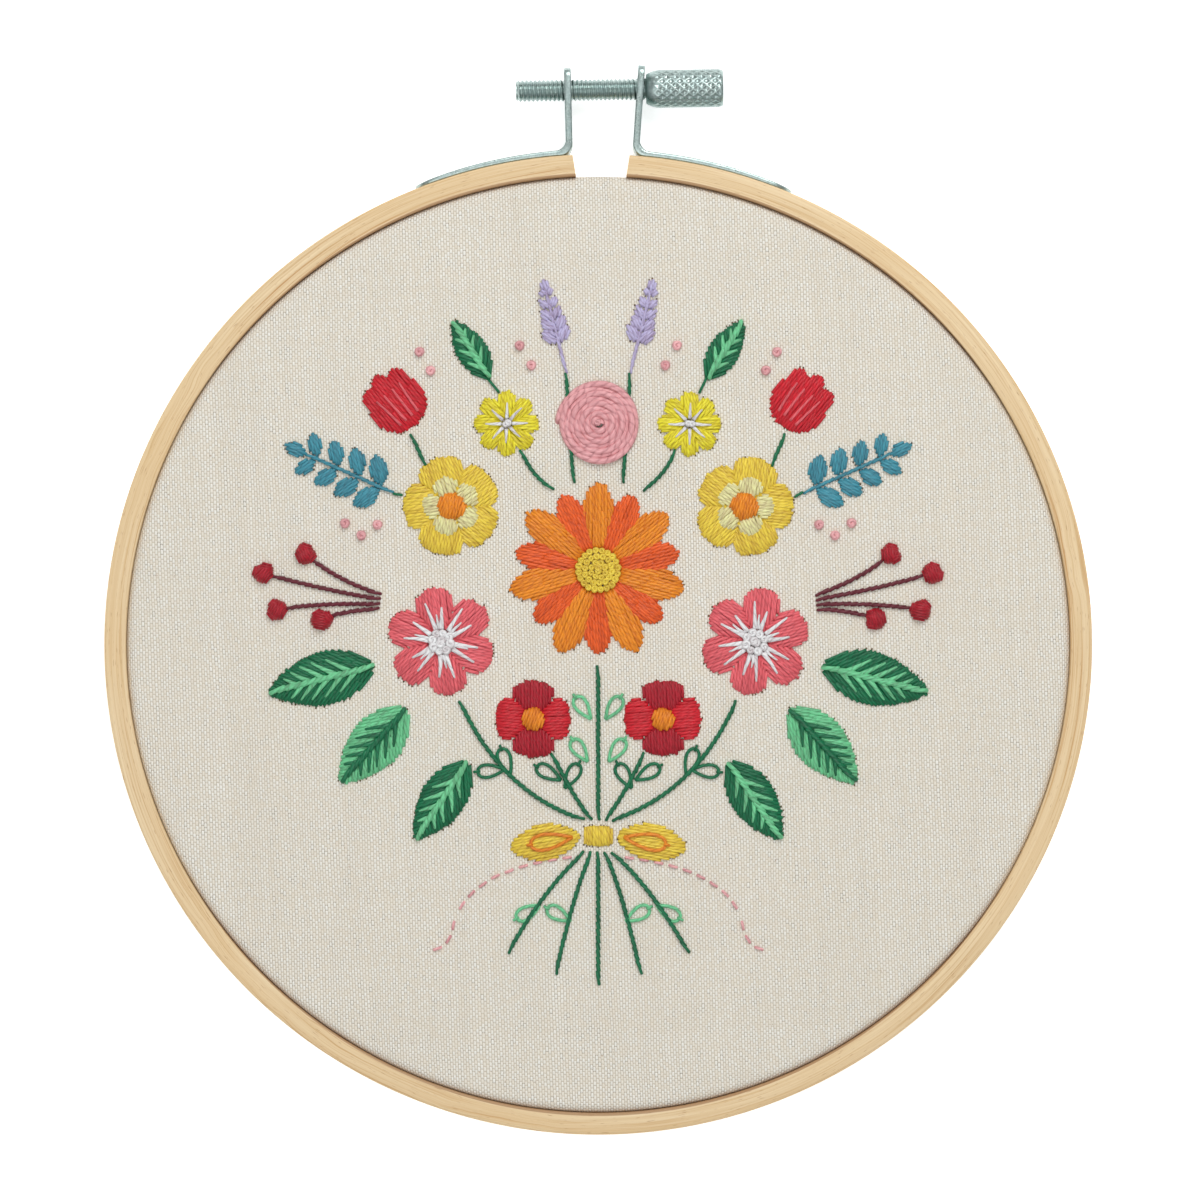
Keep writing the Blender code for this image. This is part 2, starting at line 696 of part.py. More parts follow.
def twig_outline(side):
    """Stalks from the twig's root to just short of each berry, worked out with the root at the origin."""
    root = Vector(TWIG_ROOT)
    lie = Vector((1, TWIG_RISE)).normalized()
    across = Vector((-lie.y, lie.x))
    stalks = []
    order = sorted(BERRIES, key=lambda b: (Vector(b) - root).dot(across), reverse=True)
    for index, berry in enumerate(order):
        reach = (Vector(berry) - root) * MM
        end = Vector((-reach.dot(across), reach.dot(lie)))
        base_x = (2 * index + 1 - len(order)) * TWIG_HALF
        control = Vector((base_x + (end.x - base_x) * TWIG_SPREAD, end.y * 0.6))
        short = (end - control).normalized() * BERRY_STANDOFF * MM
        stalks.append((end - short, control))
    outline = fan_outline(0, TWIG_HALF, stalks, 1)
    placed = []
    for point in outline:
        place_at = root * MM - across * point.x + lie * point.y
        placed.append(Vector((side * place_at.x, place_at.y)))
    return placed


def sides_of(name):
    """The name and the X factor of each copy that a row of the tables asks for."""
    if "*" not in name:
        return [(name, 1)]
    return [(name.replace("*", "right"), 1), (name.replace("*", "left"), -1)]


def put(form, side, x, y, turn=0.0):
    """Turn a pad from +Y towards +X, mirror it to its side and move it to its place, in millimetres."""
    form.transform(Matrix.Rotation(-math.radians(turn), 4, "Z"))
    form.transform(Matrix.Translation((x * MM, y * MM, 0)))
    form.transform(Matrix.Scale(side, 4, (1, 0, 0)))
    return form


def build_flowers(parent):
    """Petal pads, with their centres as pads of their own."""
    for name, x, y, radius, petals, points, notch, turn, centre, colour, centre_colour in FLOWERS:
        hole = centre * MM + GAP if centre else 0
        for label, side in sides_of(name):

            def share_at(angle):
                return petal_share(angle, petals, notch)

            form = flower_form(radius * MM, share_at, petals * points, math.radians(turn), hole)
            petals_name = f"{label}_petals" if centre else label
            place(petals_name, put(form, side, x, y), material(colour), parent)
            if centre:
                dome = dome_form(centre * MM, 1.4 * PAD_CROWN, 12)
                place(f"{label}_centre", put(dome, side, x, y), material(centre_colour), parent)
    x, y, radius, turn = TULIP
    for label, side in sides_of("tulip_*"):
        form = flower_form(radius * MM, tulip_share, 20, math.radians(90), 0)
        place(label, put(form, side, x, y, turn), material("red"), parent)


def build_sprays(parent):
    """Leaves, lavender, the loops of the bow, and eucalyptus sprigs."""
    for name, x, y, turn, length, width, outline, colour in SPRAYS:
        for label, side in sides_of(name):
            form = spray_form(length * MM, width * MM, outline)
            place(label, put(form, side, x, y, turn), material(colour), parent)
    x, y, turn, length, leaf, half = SPRIG
    for label, side in sides_of("eucalyptus_*"):
        form = outline_form(sprig_outline(length, leaf, half), STEM_RISE)
        place(label, put(form, side, x, y, turn), material("teal"), parent)


def build_berries(parent):
    """A branched twig and its berries on each side."""
    for label, side in (("right", 1), ("left", -1)):
        twig = outline_form(twig_outline(side), STEM_RISE)
        place(f"berry_twig_{label}", twig, material("burgundy"), parent)
        for number, (x, y) in enumerate(BERRIES, 1):
            berry = dome_form(BERRY_RADIUS, BERRY_RISE, 9)
            place(f"berry_{label}_{number}", put(berry, side, x, y), material("crimson"), parent)


def build_knot(parent):
    """The bow's knot, a small block with round corners."""
    wide, high = KNOT_HALF
    count = 12
    outline = []
    for i in range(count):
        angle = 2 * math.pi * (i + 0.5) / count
        x, y = math.cos(angle), math.sin(angle)
        rounded = Vector((math.copysign(abs(x) ** 0.5, x) * wide, math.copysign(abs(y) ** 0.5, y) * high))
        outline.append((rounded + Vector((0, KNOT_Y))) * MM)
    place("bow_knot", outline_form(outline, PAD_CROWN), material("yellow"), parent)


def build():
    clear_scene()
    hoop = empty("hoop", (0, HOOP_Y, 0))
    axis = empty("screw_axis", (SCREW_END[0], SCREW_END[1], CLAMP_MID_Z), hoop, SCREW_TILT)
    build_outer_ring(hoop)
    build_inner_ring(hoop)
    build_cloth(hoop)
    for row in BRACKETS:
        build_bracket(hoop, axis, *row)
    build_thumb_screw(axis)
    build_flowers(hoop)
    build_sprays(hoop)
    build_berries(hoop)
    build_knot(hoop)
    green = material("dark_green")
    stalk_fan("stems_upper", STALKS_TOP_Y, STALKS_ABOVE, 1, green, hoop)
    stalk_fan("stems_lower", STALKS_LOW_Y, STALKS_BELOW, -1, green, hoop)


build()
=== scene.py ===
"""The looks of an embroidered cotton cloth in a bamboo hoop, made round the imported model.

Sizes are in millimetres, and MM turns them into metres. A place on the cloth is measured from the hoop's
centre, X to the right and Y towards the clamp, and a stitch's height from the cloth's face. A row of a table
whose name has a "*" is made twice, to the right and mirrored to the left.
"""

import math

import bpy
import numpy as np
from mathutils import Matrix, Vector


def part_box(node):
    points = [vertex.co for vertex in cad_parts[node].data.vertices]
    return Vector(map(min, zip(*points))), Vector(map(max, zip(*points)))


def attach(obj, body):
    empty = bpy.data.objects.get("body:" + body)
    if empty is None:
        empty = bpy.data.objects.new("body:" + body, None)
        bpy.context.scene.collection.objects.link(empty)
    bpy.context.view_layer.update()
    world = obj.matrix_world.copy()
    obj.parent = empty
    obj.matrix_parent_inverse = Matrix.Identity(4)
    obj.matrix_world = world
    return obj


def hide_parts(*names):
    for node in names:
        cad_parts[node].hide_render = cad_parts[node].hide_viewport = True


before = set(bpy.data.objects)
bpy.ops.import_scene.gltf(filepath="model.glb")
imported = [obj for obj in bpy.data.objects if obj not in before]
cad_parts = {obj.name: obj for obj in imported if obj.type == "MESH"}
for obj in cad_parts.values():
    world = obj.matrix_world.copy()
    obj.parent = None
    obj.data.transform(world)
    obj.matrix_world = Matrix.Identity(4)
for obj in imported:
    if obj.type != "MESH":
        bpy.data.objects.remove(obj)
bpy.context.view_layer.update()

MM = 0.001
ring_low, ring_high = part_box("inner_ring")
CENTRE = Vector(((ring_low.x + ring_high.x) / 2, (ring_low.y + ring_high.y) / 2, 0))
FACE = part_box("cloth")[1].z / MM
HOOP_BODY = "hoop"
random = np.random.default_rng(29)

# The photograph: its width in pixels, a pixel's size on the cloth, and where the hoop's centre lies in it
PHOTO_WIDE = 1200
PHOTO_PIXEL = 0.188
PHOTO_CENTRE = (598.2, 644.5)
LENS = 150
SENSOR = 36

# Rings, as in the solids, with finer steps
OVAL = 0.35
RING_STEPS = 288
RING_RADIUS = 92.55
RING_WALL = 4.1
RING_DEPTH = 9.0
SPLIT_OUTER = (-4.83, 5.90)
SPLIT_INNER = (-4.17, 5.28)
SEAT = 0.02  # what is left between pieces that touch

# Cloth
CLOTH_THICK = 0.7
CLOTH_TURN = 1.8
CLOTH_HEM = 0.5
SKIRT = RING_RADIUS - RING_WALL - SEAT
WARP = 0.51  # from one upright thread to the next
WEFT = 0.895  # length of one woven float and the next gap
WEAVE_TURN = math.radians(2.2)

# Clamp, as in the solids
STRIP_WIDTH = 7.5
FOOT_THICK = 1.03
LUG_THICK = 1.3
BEND_THICK = 1.5
TONGUE_THICK = 0.7
BEND_RADIUS = 2.2
LUG_CORNER = 1.6
LUG_FOOT_Y = 94.3
BRACKETS = (
    ("left", -5.46, math.radians(1.46), 108.6, math.radians(90 + 21.65)),
    ("right", 7.17, math.radians(3.87), 109.1, math.radians(90 - 22.95)),
)
SCREW_END = (-15.51, 104.45)
SCREW_TILT = math.radians(0.9)
SHANK_RADIUS = 2.07
LUG_HOLE_RADIUS = SHANK_RADIUS + 0.3
LUG_HOLE_REACH = 3.0
LUG_HOLE_SIDES = 48
THREAD_PITCH = 0.8
THREAD_DEPTH = 0.34
THREAD_LENGTH = 24.7
THREAD_STEPS = 10  # stations along one turn of the thread
HEAD_START = 24.55
HEAD_END = 39.08
HEAD_RADIUS = 3.58
SHOULDER_RADIUS = 2.72
KNURL_START = 25.9
KNURL_TEETH = 15
KNURL_PITCH = 1.67
KNURL_DEPTH = 0.3

# Threads: sRGB colours, each made into a material of the same name
COLOURS = {
    "orange": (255, 136, 20),
    "dark_orange": (240, 88, 22),
    "yellow": (246, 203, 62),
    "cream": (238, 224, 160),
    "lemon": (240, 218, 40),
    "coral": (238, 96, 104),
    "pink": (243, 168, 170),
    "white": (240, 236, 233),
    "red": (214, 16, 34),
    "crimson": (176, 8, 30),
    "burgundy": (104, 18, 34),
    "teal": (64, 140, 158),
    "lilac": (196, 178, 214),
    "dark_green": (0, 104, 62),
    "light_green": (112, 198, 140),
}
THREAD = 0.72  # width of a laid thread
THREAD_HIGH = 0.44
PITCH = 0.56  # from one laid thread to the next
SINK = -0.4  # how deep a stitch's ends go below the cloth's face
UNDERLAY = 0.3  # thickness of the padding under a satin shape
HOLE_RIM = 0.07  # a needle hole's rim above the cloth's face, and its foot below it
HOLE_FOOT = -0.3
HOLE_SIDES = 5

# Flowers. columns: name, X, Y, radius, petals, turn in degrees, inner radius, petal's half-width
FLOWERS = (
    ("daisy", 0, 14, 17.0, 14, 90, 4.0, 2.9),
    ("cosmos_*", 29.5, 0.5, 10.2, 6, 20, 2.0, 3.45),
    ("primrose_*", 27.5, 26, 9.4, 5, 0, 1.8, 4.2),
    ("pansy_*", 12.2, -14, 7.2, 4, 90, 1.2, 3.9),
    ("aster_*", 17.2, 41.5, 6.2, 8, 0, 1.0, 1.65),
)
# The colours of a flower's petals in turn, and the share of the full size that each of them has
PETAL_COLOURS = {
    "daisy": (("orange", 1.0), ("dark_orange", 0.92)),
    "cosmos": (("coral", 1.0),),
    "primrose": (("yellow", 1.0),),
    "pansy": (("crimson", 1.0), ("red", 1.0)),
    "aster": (("lemon", 1.0),),
}
ROSE = (0, 41.5, 8.0)
TULIP = (37.5, 45.0, 7.0, 40)
# Straight stitches on each petal. columns: turn off the petal's axis, start, end as a share of the
# flower's radius, width
RAYS = {
    "cosmos": ((-0.22, 2.4, 0.66, 1.1), (0.03, 2.4, 0.50, 0.8), (0.24, 2.4, 0.72, 1.0)),
    "aster": ((0.0, 1.0, 0.62, 0.8),),
}
# Leaves. columns: name, X and Y of the root, turn from +Y towards +X, length, half-width, colour,
# the veins' colour
LEAVES = (
    ("leaf_top_*", 20.5, 50, 32, 13, 2.9, "dark_green", "light_green"),
    ("leaf_side_*", 42, -4, 104, 21, 5.0, "dark_green", "light_green"),
    ("leaf_middle_*", 36, -12, 138, 19, 4.8, "light_green", "dark_green"),
    ("leaf_low_*", 24.5, -22, 146, 18, 4.2, "dark_green", "light_green"),
)
LAVENDER = (6, 51, 14, 18, 3.0)
BOW = (3.6, -36, 100, 13, 3.4)
SPRIG = (38.5, 28.5, 66, 22, 5.8, 1.65)
SPRIG_PAIRS = 4
SPRIG_LEAN = math.radians(55)
TWIG_ROOT = (41, 8)
TWIG_RISE = 0.12
TWIG_SPREAD = 0.3
BERRIES = ((52.0, 4.8), (60.5, 6.5), (63.0, 13.5), (55.0, 17.0))
# The lumps of a berry. columns: distance and turn from its middle, radius, height
BERRY_LUMPS = ((0.25, 0.0, 1.85, 2.0), (0.85, 2.0, 1.25, 1.7), (0.75, 4.2, 1.3, 1.5))
STALKS_ABOVE = ((-26.0, -10.6, 1), (-8.7, -20.4, 0.4), (0, -4.0, 0), (8.7, -20.4, 0.4), (26.0, -10.6, 1))
STALKS_BELOW = ((-17.0, -58.0, 0.5), (-8.0, -62.0, 0.5), (0, -64.0, 0), (8.0, -62.0, 0.5), (17.0, -58.0, 0.5))
STALKS_TOP_Y = -33.0
STALKS_LOW_Y = -39.0
LONE_KNOTS = (
    (41.5, 22.5), (44.5, 20.5), (47.6, 22.8),
    (12.6, 52.5), (14.8, 56.2), (31.5, 51.5), (33.6, 55.0),
)
KNOT_Y = -36.0
KNOT_HALF = (2.7, 1.9)


def linear(channel):
    """An sRGB channel from 0 to 255 as the linear value that a shader takes."""
    share = channel / 255
    return share / 12.92 if share <= 0.04045 else ((share + 0.055) / 1.055) ** 2.4


def rgb(*channels):
    """An sRGB colour as a linear one with full opacity."""
    return (*[linear(c) for c in channels], 1.0)


class Graph:
    """A material and a short way to write its nodes."""

    def __init__(self, name, roughness=0.5, metallic=0.0, **sockets):
        self.material = bpy.data.materials.new(name)
        self.material.use_nodes = True
        self.tree = self.material.node_tree
        self.shader = self.tree.nodes["Principled BSDF"]
        self.shader.inputs["Roughness"].default_value = roughness
        self.shader.inputs["Metallic"].default_value = metallic
        for socket, value in sockets.items():
            self.shader.inputs[socket.replace("_", " ")].default_value = value

    def node(self, kind, *values, **settings):
        """A node with its settings, and its first inputs fed in order."""
        made = self.tree.nodes.new(kind)
        for key, value in settings.items():
            setattr(made, key, value)
        for socket, value in zip(made.inputs, values):
            self.feed(socket, value)
        return made

    def feed(self, socket, value):
        """Link a node's output to the socket, or set its value."""
        if isinstance(value, bpy.types.NodeSocket):
            self.tree.links.new(value, socket)
        elif value is not None:
            socket.default_value = value

    def math(self, operation, *values):
        return self.node("ShaderNodeMath", *values, operation=operation).outputs[0]

    def add(self, *values):
        return self.math("ADD", *values)

    def times(self, *values):
        return self.math("MULTIPLY", *values)

    def vector(self, x, y, z=0.0):
        return self.node("ShaderNodeCombineXYZ", x, y, z).outputs[0]

    def split(self, vector):
        return self.node("ShaderNodeSeparateXYZ", vector).outputs

    def noise(self, vector, scale=1.0, detail=2.0, roughness=0.5):
        """A noise from 0 to 1."""
        made = self.node("ShaderNodeTexNoise")
        self.feed(made.inputs["Vector"], vector)
        made.inputs["Scale"].default_value = scale
        made.inputs["Detail"].default_value = detail
        made.inputs["Roughness"].default_value = roughness
        return made.outputs[0]

    def chance(self, vector):
        """A value from 0 to 1 that is the same all over one whole-numbered cell."""
        made = self.node("ShaderNodeTexWhiteNoise", vector, noise_dimensions="3D")
        return made.outputs["Value"]

    def span(self, value, low, high, to_low=0.0, to_high=1.0, smooth=False):
        """A value from one range mapped to another and held inside it."""
        made = self.node("ShaderNodeMapRange", value, low, high, to_low, to_high)
        if smooth:
            made.interpolation_type = "SMOOTHSTEP"
        return made.outputs[0]

    def mix(self, share, low, high):
        """A colour between two."""
        made = self.node("ShaderNodeMix", data_type="RGBA")
        self.feed(made.inputs[0], share)
        self.feed(made.inputs[6], low)
        self.feed(made.inputs[7], high)
        return made.outputs[2]

    def bump(self, height, distance, under=None):
        """A normal from a height, with distance in millimetres."""
        made = self.node("ShaderNodeBump")
        made.inputs["Distance"].default_value = distance * MM
        self.feed(made.inputs["Height"], height)
        self.feed(made.inputs["Normal"], under)
        return made.outputs[0]

    def place(self):
        """Where a point lies in millimetres: the hoop's centre is the origin."""
        spot = self.node("ShaderNodeTexCoord").outputs["Object"]
        moved = self.node("ShaderNodeVectorMath", spot, tuple(-CENTRE), operation="ADD").outputs[0]
        return self.node("ShaderNodeVectorMath", moved, (1 / MM,) * 3, operation="MULTIPLY").outputs[0]

    def paint(self, colour=None, normal=None, roughness=None):
        """Feed the shader and hand back the material."""
        self.feed(self.shader.inputs["Base Color"], colour)
        self.feed(self.shader.inputs["Normal"], normal)
        self.feed(self.shader.inputs["Roughness"], roughness)
        return self.material


def bamboo_material():
    """Pale bamboo: fine fibres along the ring, amber streaks that waver, and a browner inner edge that is
    partly the wood's own tone and partly painted shade where the ring meets the cloth.
    """
    g = Graph("bamboo", 0.5, Coat_Weight=0.08, Coat_Roughness=0.35)
    x, y, z = g.split(g.place())
    angle = g.math("ARCTAN2", x, g.times(y, -1))
    radius = g.math("SQRT", g.add(g.times(x, x), g.times(y, y)))
    along = g.times(angle, RING_RADIUS)
    waver = g.noise(g.vector(g.times(along, 1 / 16), g.times(radius, 1 / 6), g.times(z, 1 / 6)), detail=2)
    near_node = g.noise(g.vector(g.times(along, 1 / 45), 3.7, 0), detail=0)
    strength = g.span(near_node, 0.5, 0.68, 0.5, 3.2, smooth=True)
    shift = g.times(g.add(waver, -0.5), strength)
    across = g.add(radius, shift)
    fibre_spot = g.vector(g.times(along, 1 / 22), g.times(across, 1 / 0.24), g.times(z, 1 / 0.5))
    fibre = g.noise(fibre_spot, detail=3)
    band_spot = g.vector(g.times(along, 1 / 60), g.times(across, 1 / 0.9), g.times(z, 1 / 2))
    band = g.noise(band_spot, detail=2)
    tone = g.noise(g.vector(g.times(along, 1 / 50), g.times(radius, 1 / 9), 5), detail=2)
    colour = g.mix(g.span(band, 0.3, 0.7), rgb(214, 178, 124), rgb(240, 214, 170))
    colour = g.mix(g.span(fibre, 0.35, 0.75, 0, 0.55), colour, rgb(250, 231, 196))
    colour = g.mix(g.span(fibre, 0.44, 0.30, 0, 0.4), colour, rgb(190, 140, 82))
    streak = g.times(g.span(band, 0.40, 0.31), g.span(fibre, 0.58, 0.42))
    colour = g.mix(g.times(streak, 0.7), colour, rgb(190, 128, 62))
    colour = g.mix(g.span(tone, 0.35, 0.7, 0, 0.4), colour, rgb(224, 186, 128))
    fleck = g.noise(g.vector(g.times(along, 1 / 2.2), g.times(across, 1 / 0.2), z), detail=1)
    colour = g.mix(g.span(fleck, 0.66, 0.76, 0, 0.6), colour, rgb(166, 112, 58))
    inside = RING_RADIUS - RING_WALL
    # Browner band along the inner edge: partly the wood's own tone, partly painted shade where the ring meets
    # the cloth.
    edge = g.span(radius, inside + 0.05, inside + 0.25, 0.7, 0, smooth=True)
    colour = g.mix(edge, colour, rgb(150, 98, 50))
    height = g.add(g.times(fibre, 0.6), g.times(band, 0.4))
    return g.paint(colour, g.bump(height, 0.08), g.span(fibre, 0.2, 0.8, 0.42, 0.6))


def canvas_material():
    """Natural cotton canvas: upright floats that stagger from thread to thread, slubs and seed flecks, with
    painted shade between the floats and in a few open gaps.
    """
    g = Graph("canvas", 0.9, Sheen_Weight=0.15, Sheen_Roughness=0.5)
    flat = g.node("ShaderNodeUVMap").outputs[0]
    x, y, _ = g.split(flat)
    c, s = math.cos(WEAVE_TURN), math.sin(WEAVE_TURN)
    drift = g.add(g.noise(g.vector(g.times(x, 1 / 9), g.times(y, 1 / 30), 0), detail=3), -0.5)
    wave = g.add(g.noise(g.vector(g.times(x, 1 / 25), g.times(y, 1 / 9), 7), detail=3), -0.5)
    u = g.add(g.times(g.add(g.times(x, c), g.times(y, s)), 1 / WARP), g.times(drift, 2.2))
    v = g.add(g.times(g.add(g.times(x, -s), g.times(y, c)), 1 / WEFT), g.times(wave, 1.2))
    column = g.math("FLOOR", u)
    v = g.add(v, g.times(g.math("FLOORED_MODULO", column, 2.0), 0.5))
    row = g.math("FLOOR", v)
    chance = g.chance(g.vector(column, row, 0))
    slub = g.chance(g.vector(column, 0, 3))
    pick = g.chance(g.vector(0, row, 5))
    off_u = g.times(g.add(g.math("FRACT", u), -0.5), 2)
    off_v = g.times(g.add(g.math("FRACT", v), -0.5), 2)
    round_u = g.math("SUBTRACT", 1.0, g.math("POWER", g.math("ABSOLUTE", off_u), 2.0))
    round_v = g.math("SUBTRACT", 1.0, g.math("POWER", g.math("ABSOLUTE", off_v), 2.4))
    float_high = g.math("POWER", g.times(round_u, round_v), 0.7)
    fuzz = g.noise(g.vector(g.times(x, 9), g.times(y, 5), 0), detail=2)
    height = g.add(g.times(float_high, g.span(chance, 0, 1, 0.7, 1.15)), g.times(fuzz, 0.35))
    light = g.mix(g.span(chance, 0, 1), rgb(243, 236, 222), rgb(255, 253, 245))
    streaks = g.add(g.times(slub, 0.5), g.times(pick, 0.3))
    light = g.mix(g.span(streaks, 0, 0.8, 0, 0.2), light, rgb(222, 208, 184))
    # Darker towards each float's edges and in the gaps between floats: painted shade in the weave's hollows.
    colour = g.mix(g.span(float_high, 0.0, 0.6, 0.85, 0), light, rgb(200, 181, 150))
    # A few gaps between floats are painted dark brown: painted shade inside the weave's openings.
    hole = g.times(g.span(chance, 0.955, 0.96), g.span(float_high, 0.3, 0.1))
    colour = g.mix(g.times(hole, 0.85), colour, rgb(92, 76, 56))
    seed = g.noise(g.vector(g.times(x, 1 / 0.45), g.times(y, 1 / 0.9), 11), detail=1)
    colour = g.mix(g.span(seed, 0.74, 0.80, 0, 0.6), colour, rgb(164, 122, 84))
    patch = g.noise(g.vector(g.times(x, 1 / 14), g.times(y, 1 / 22), 2), detail=3)
    colour = g.mix(g.span(patch, 0.3, 0.7, 0, 0.12), colour, rgb(226, 214, 194))
    return g.paint(colour, g.bump(height, 0.16))


def thread_material(name):
    """Stranded cotton: two plies side by side in a slack twist, each thread a little lighter or darker, with
    painted highlight on the plies' crests, painted shade between them and lighter fibre streaks that are
    partly painted glint.
    """
    red, green, blue = COLOURS[name]
    g = Graph(name, 0.4, Sheen_Weight=0.06, Sheen_Roughness=0.4, Specular_IOR_Level=0.5)
    length, turn, _ = g.split(g.node("ShaderNodeUVMap").outputs[0])
    shade = g.node("ShaderNodeAttribute", attribute_name="shade").outputs["Fac"]
    slack = g.noise(g.vector(g.times(length, 0.6), g.times(shade, 40), 0), detail=1)
    phase = g.add(g.times(length, 0.55), g.times(turn, 2))
    phase = g.add(phase, g.add(g.times(shade, 7), g.times(slack, 1.2)))
    ply = g.math("ABSOLUTE", g.math("SINE", g.times(phase, math.pi)))
    strand = g.math("SINE", g.times(g.add(phase, g.times(turn, 9)), 2 * math.pi))
    height = g.add(g.math("POWER", ply, 0.5), g.times(strand, 0.12))
    dark = rgb(red * 0.81, green * 0.76, blue * 0.78)
    light = rgb(min(255, red * 1.03 + 6), min(255, green * 1.06 + 12), min(255, blue * 1.06 + 12))
    fibre = g.noise(g.vector(g.times(length, 0.9), g.times(turn, 9), g.times(shade, 50)), detail=2)
    # Lighter on each ply's crest and darker between the plies: painted highlight and painted shade. The shade
    # attribute adds each thread's own random tone.
    tone = g.add(g.times(shade, 0.4), g.times(g.span(ply, 0.1, 0.8), 0.35))
    # Lighter streaks from the fibre noise: partly the floss's own tone, partly painted glint.
    tone = g.add(tone, g.span(fibre, 0.35, 0.65, 0, 0.35))
    return g.paint(g.mix(tone, dark, light), g.bump(height, 0.10))


def steel_material():
    """Bright zinc plate: satin and faintly mottled."""
    g = Graph("zinc", 0.3, 1.0)
    spot = g.place()
    grain = g.noise(spot, 2.6, 4, 0.6)
    broad = g.noise(spot, 0.5, 2)
    colour = g.mix(g.span(grain, 0.3, 0.7), rgb(142, 160, 156), rgb(190, 204, 200))
    colour = g.mix(g.span(broad, 0.35, 0.65, 0, 0.35), colour, rgb(156, 178, 178))
    return g.paint(colour, g.bump(grain, 0.02), g.span(broad, 0.3, 0.7, 0.26, 0.38))


def hole_material():
    """The shadowed mouth of a needle hole."""
    g = Graph("needle_hole", 1.0)
    grain = g.noise(g.place(), 3.0, 1)
    # Dark brown throughout: painted shade inside the needle hole.
    return g.paint(g.mix(g.span(grain, 0.3, 0.7), rgb(84, 68, 46), rgb(138, 116, 86)))


def mesh_object(name, points, faces):
    """An object from points in millimetres round the hoop's centre."""
    mesh = bpy.data.meshes.new(name)
    world = np.asarray(points, float) * MM + np.array(CENTRE)
    mesh.from_pydata(world.tolist(), [], faces)
    thing = bpy.data.objects.new(name, mesh)
    bpy.context.scene.collection.objects.link(thing)
    return thing


def cut_out(thing, cutter):
    """Take the cutter's shape out of an object, and drop the cutter."""
    modifier = thing.modifiers.new("Cut", "BOOLEAN")
    modifier.operation = "DIFFERENCE"
    modifier.solver = "EXACT"
    modifier.object = cutter
    graph = bpy.context.evaluated_depsgraph_get()
    mesh = bpy.data.meshes.new_from_object(thing.evaluated_get(graph))
    thing.modifiers.clear()
    thing.data = mesh
    bpy.data.objects.remove(cutter)


def mesh_piece(name, points, faces, material, body=HOOP_BODY, smooth_angle=None, cutter=None):
    """A visible object from points in millimetres round the hoop's centre, riding on its body."""
    piece = mesh_object(name, points, faces)
    if cutter:
        cut_out(piece, cutter)
    piece.data.shade_smooth()
    if smooth_angle:
        piece.data.set_sharp_from_angle(angle=math.radians(smooth_angle))
    piece.data.materials.append(material)
    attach(piece, body)
    return piece


def loft_faces(rows, count, closed=False):
    """Faces through rows of equally many points, capped at both ends or closed in a round."""
    faces = []
    for row in range(rows if closed else rows - 1):
        low, high = row * count, (row + 1) % rows * count
        for i in range(count):
            j = (i + 1) % count
            faces.append((low + i, low + j, high + j, high + i))
    if not closed:
        faces.append(tuple(reversed(range(count))))
        faces.append(tuple(range((rows - 1) * count, rows * count)))
    return faces


def flipped(faces):
    """The same faces, pointing the other way."""
    return [tuple(reversed(face)) for face in faces]


def oval(radius, angle):
    """The point of the hoop's plan at a mean radius and an angle from +X, rounder near the middle."""
    stretch = OVAL * min(1.0, radius / (RING_RADIUS / 2))
    return (radius + stretch) * math.cos(angle), (radius - stretch) * math.sin(angle)


def rounded_section(inner, outer, low, high, fillets, steps=4):
    """A ring's section as (radius, height) points, its four corners rounded, from the low inner one on."""
    corners = ((inner, low, 1, 1), (outer, low, -1, 1), (outer, high, -1, -1), (inner, high, 1, -1))
    points = []
    for index, ((radius, height, in_r, in_z), fillet) in enumerate(zip(corners, fillets)):
        for step in range(steps + 1):
            turn = math.radians(180 + 90 * index + 90 * step / steps)
            across = radius + in_r * fillet + fillet * math.cos(turn)
            points.append((across, height + in_z * fillet + fillet * math.sin(turn)))
    return points


def build_rings(bamboo):
    """The split outer ring, whose ends are flat cuts, and the closed inner ring under the cloth."""
    section = rounded_section(RING_RADIUS - RING_WALL, RING_RADIUS, 0, RING_DEPTH, (0.5, 0.7, 0.55, 0.3))

    def split_angle(radius, side):
        share = (RING_RADIUS - radius) / RING_WALL
        x = SPLIT_OUTER[side] * (1 - share) + SPLIT_INNER[side] * share
        return math.acos(x / (radius + OVAL))

    points = []
    for step in range(RING_STEPS + 1):
        for radius, height in section:
            start = split_angle(radius, 0)
            end = split_angle(radius, 1) + 2 * math.pi
            points.append((*oval(radius, start + (end - start) * step / RING_STEPS), height))
    faces = flipped(loft_faces(RING_STEPS + 1, len(section)))
    outer = mesh_piece("bamboo_outer_ring", points, faces, bamboo, smooth_angle=50)
    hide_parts("outer_ring")

    outside = SKIRT - CLOTH_THICK - SEAT
    top = FACE - CLOTH_THICK - SEAT
    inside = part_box("inner_ring")[1].x / MM - OVAL - RING_WALL
    section = rounded_section(inside, outside, 0, top, (0.5, 0.5, CLOTH_TURN - CLOTH_THICK, 0.5))
    points = []
    for step in range(RING_STEPS):
        angle = 2 * math.pi * step / RING_STEPS
        points += [(*oval(radius, angle), height) for radius, height in section]
    faces = flipped(loft_faces(RING_STEPS, len(section), closed=True))
    inner = mesh_piece("bamboo_inner_ring", points, faces, bamboo, smooth_angle=50)
    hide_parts("inner_ring")


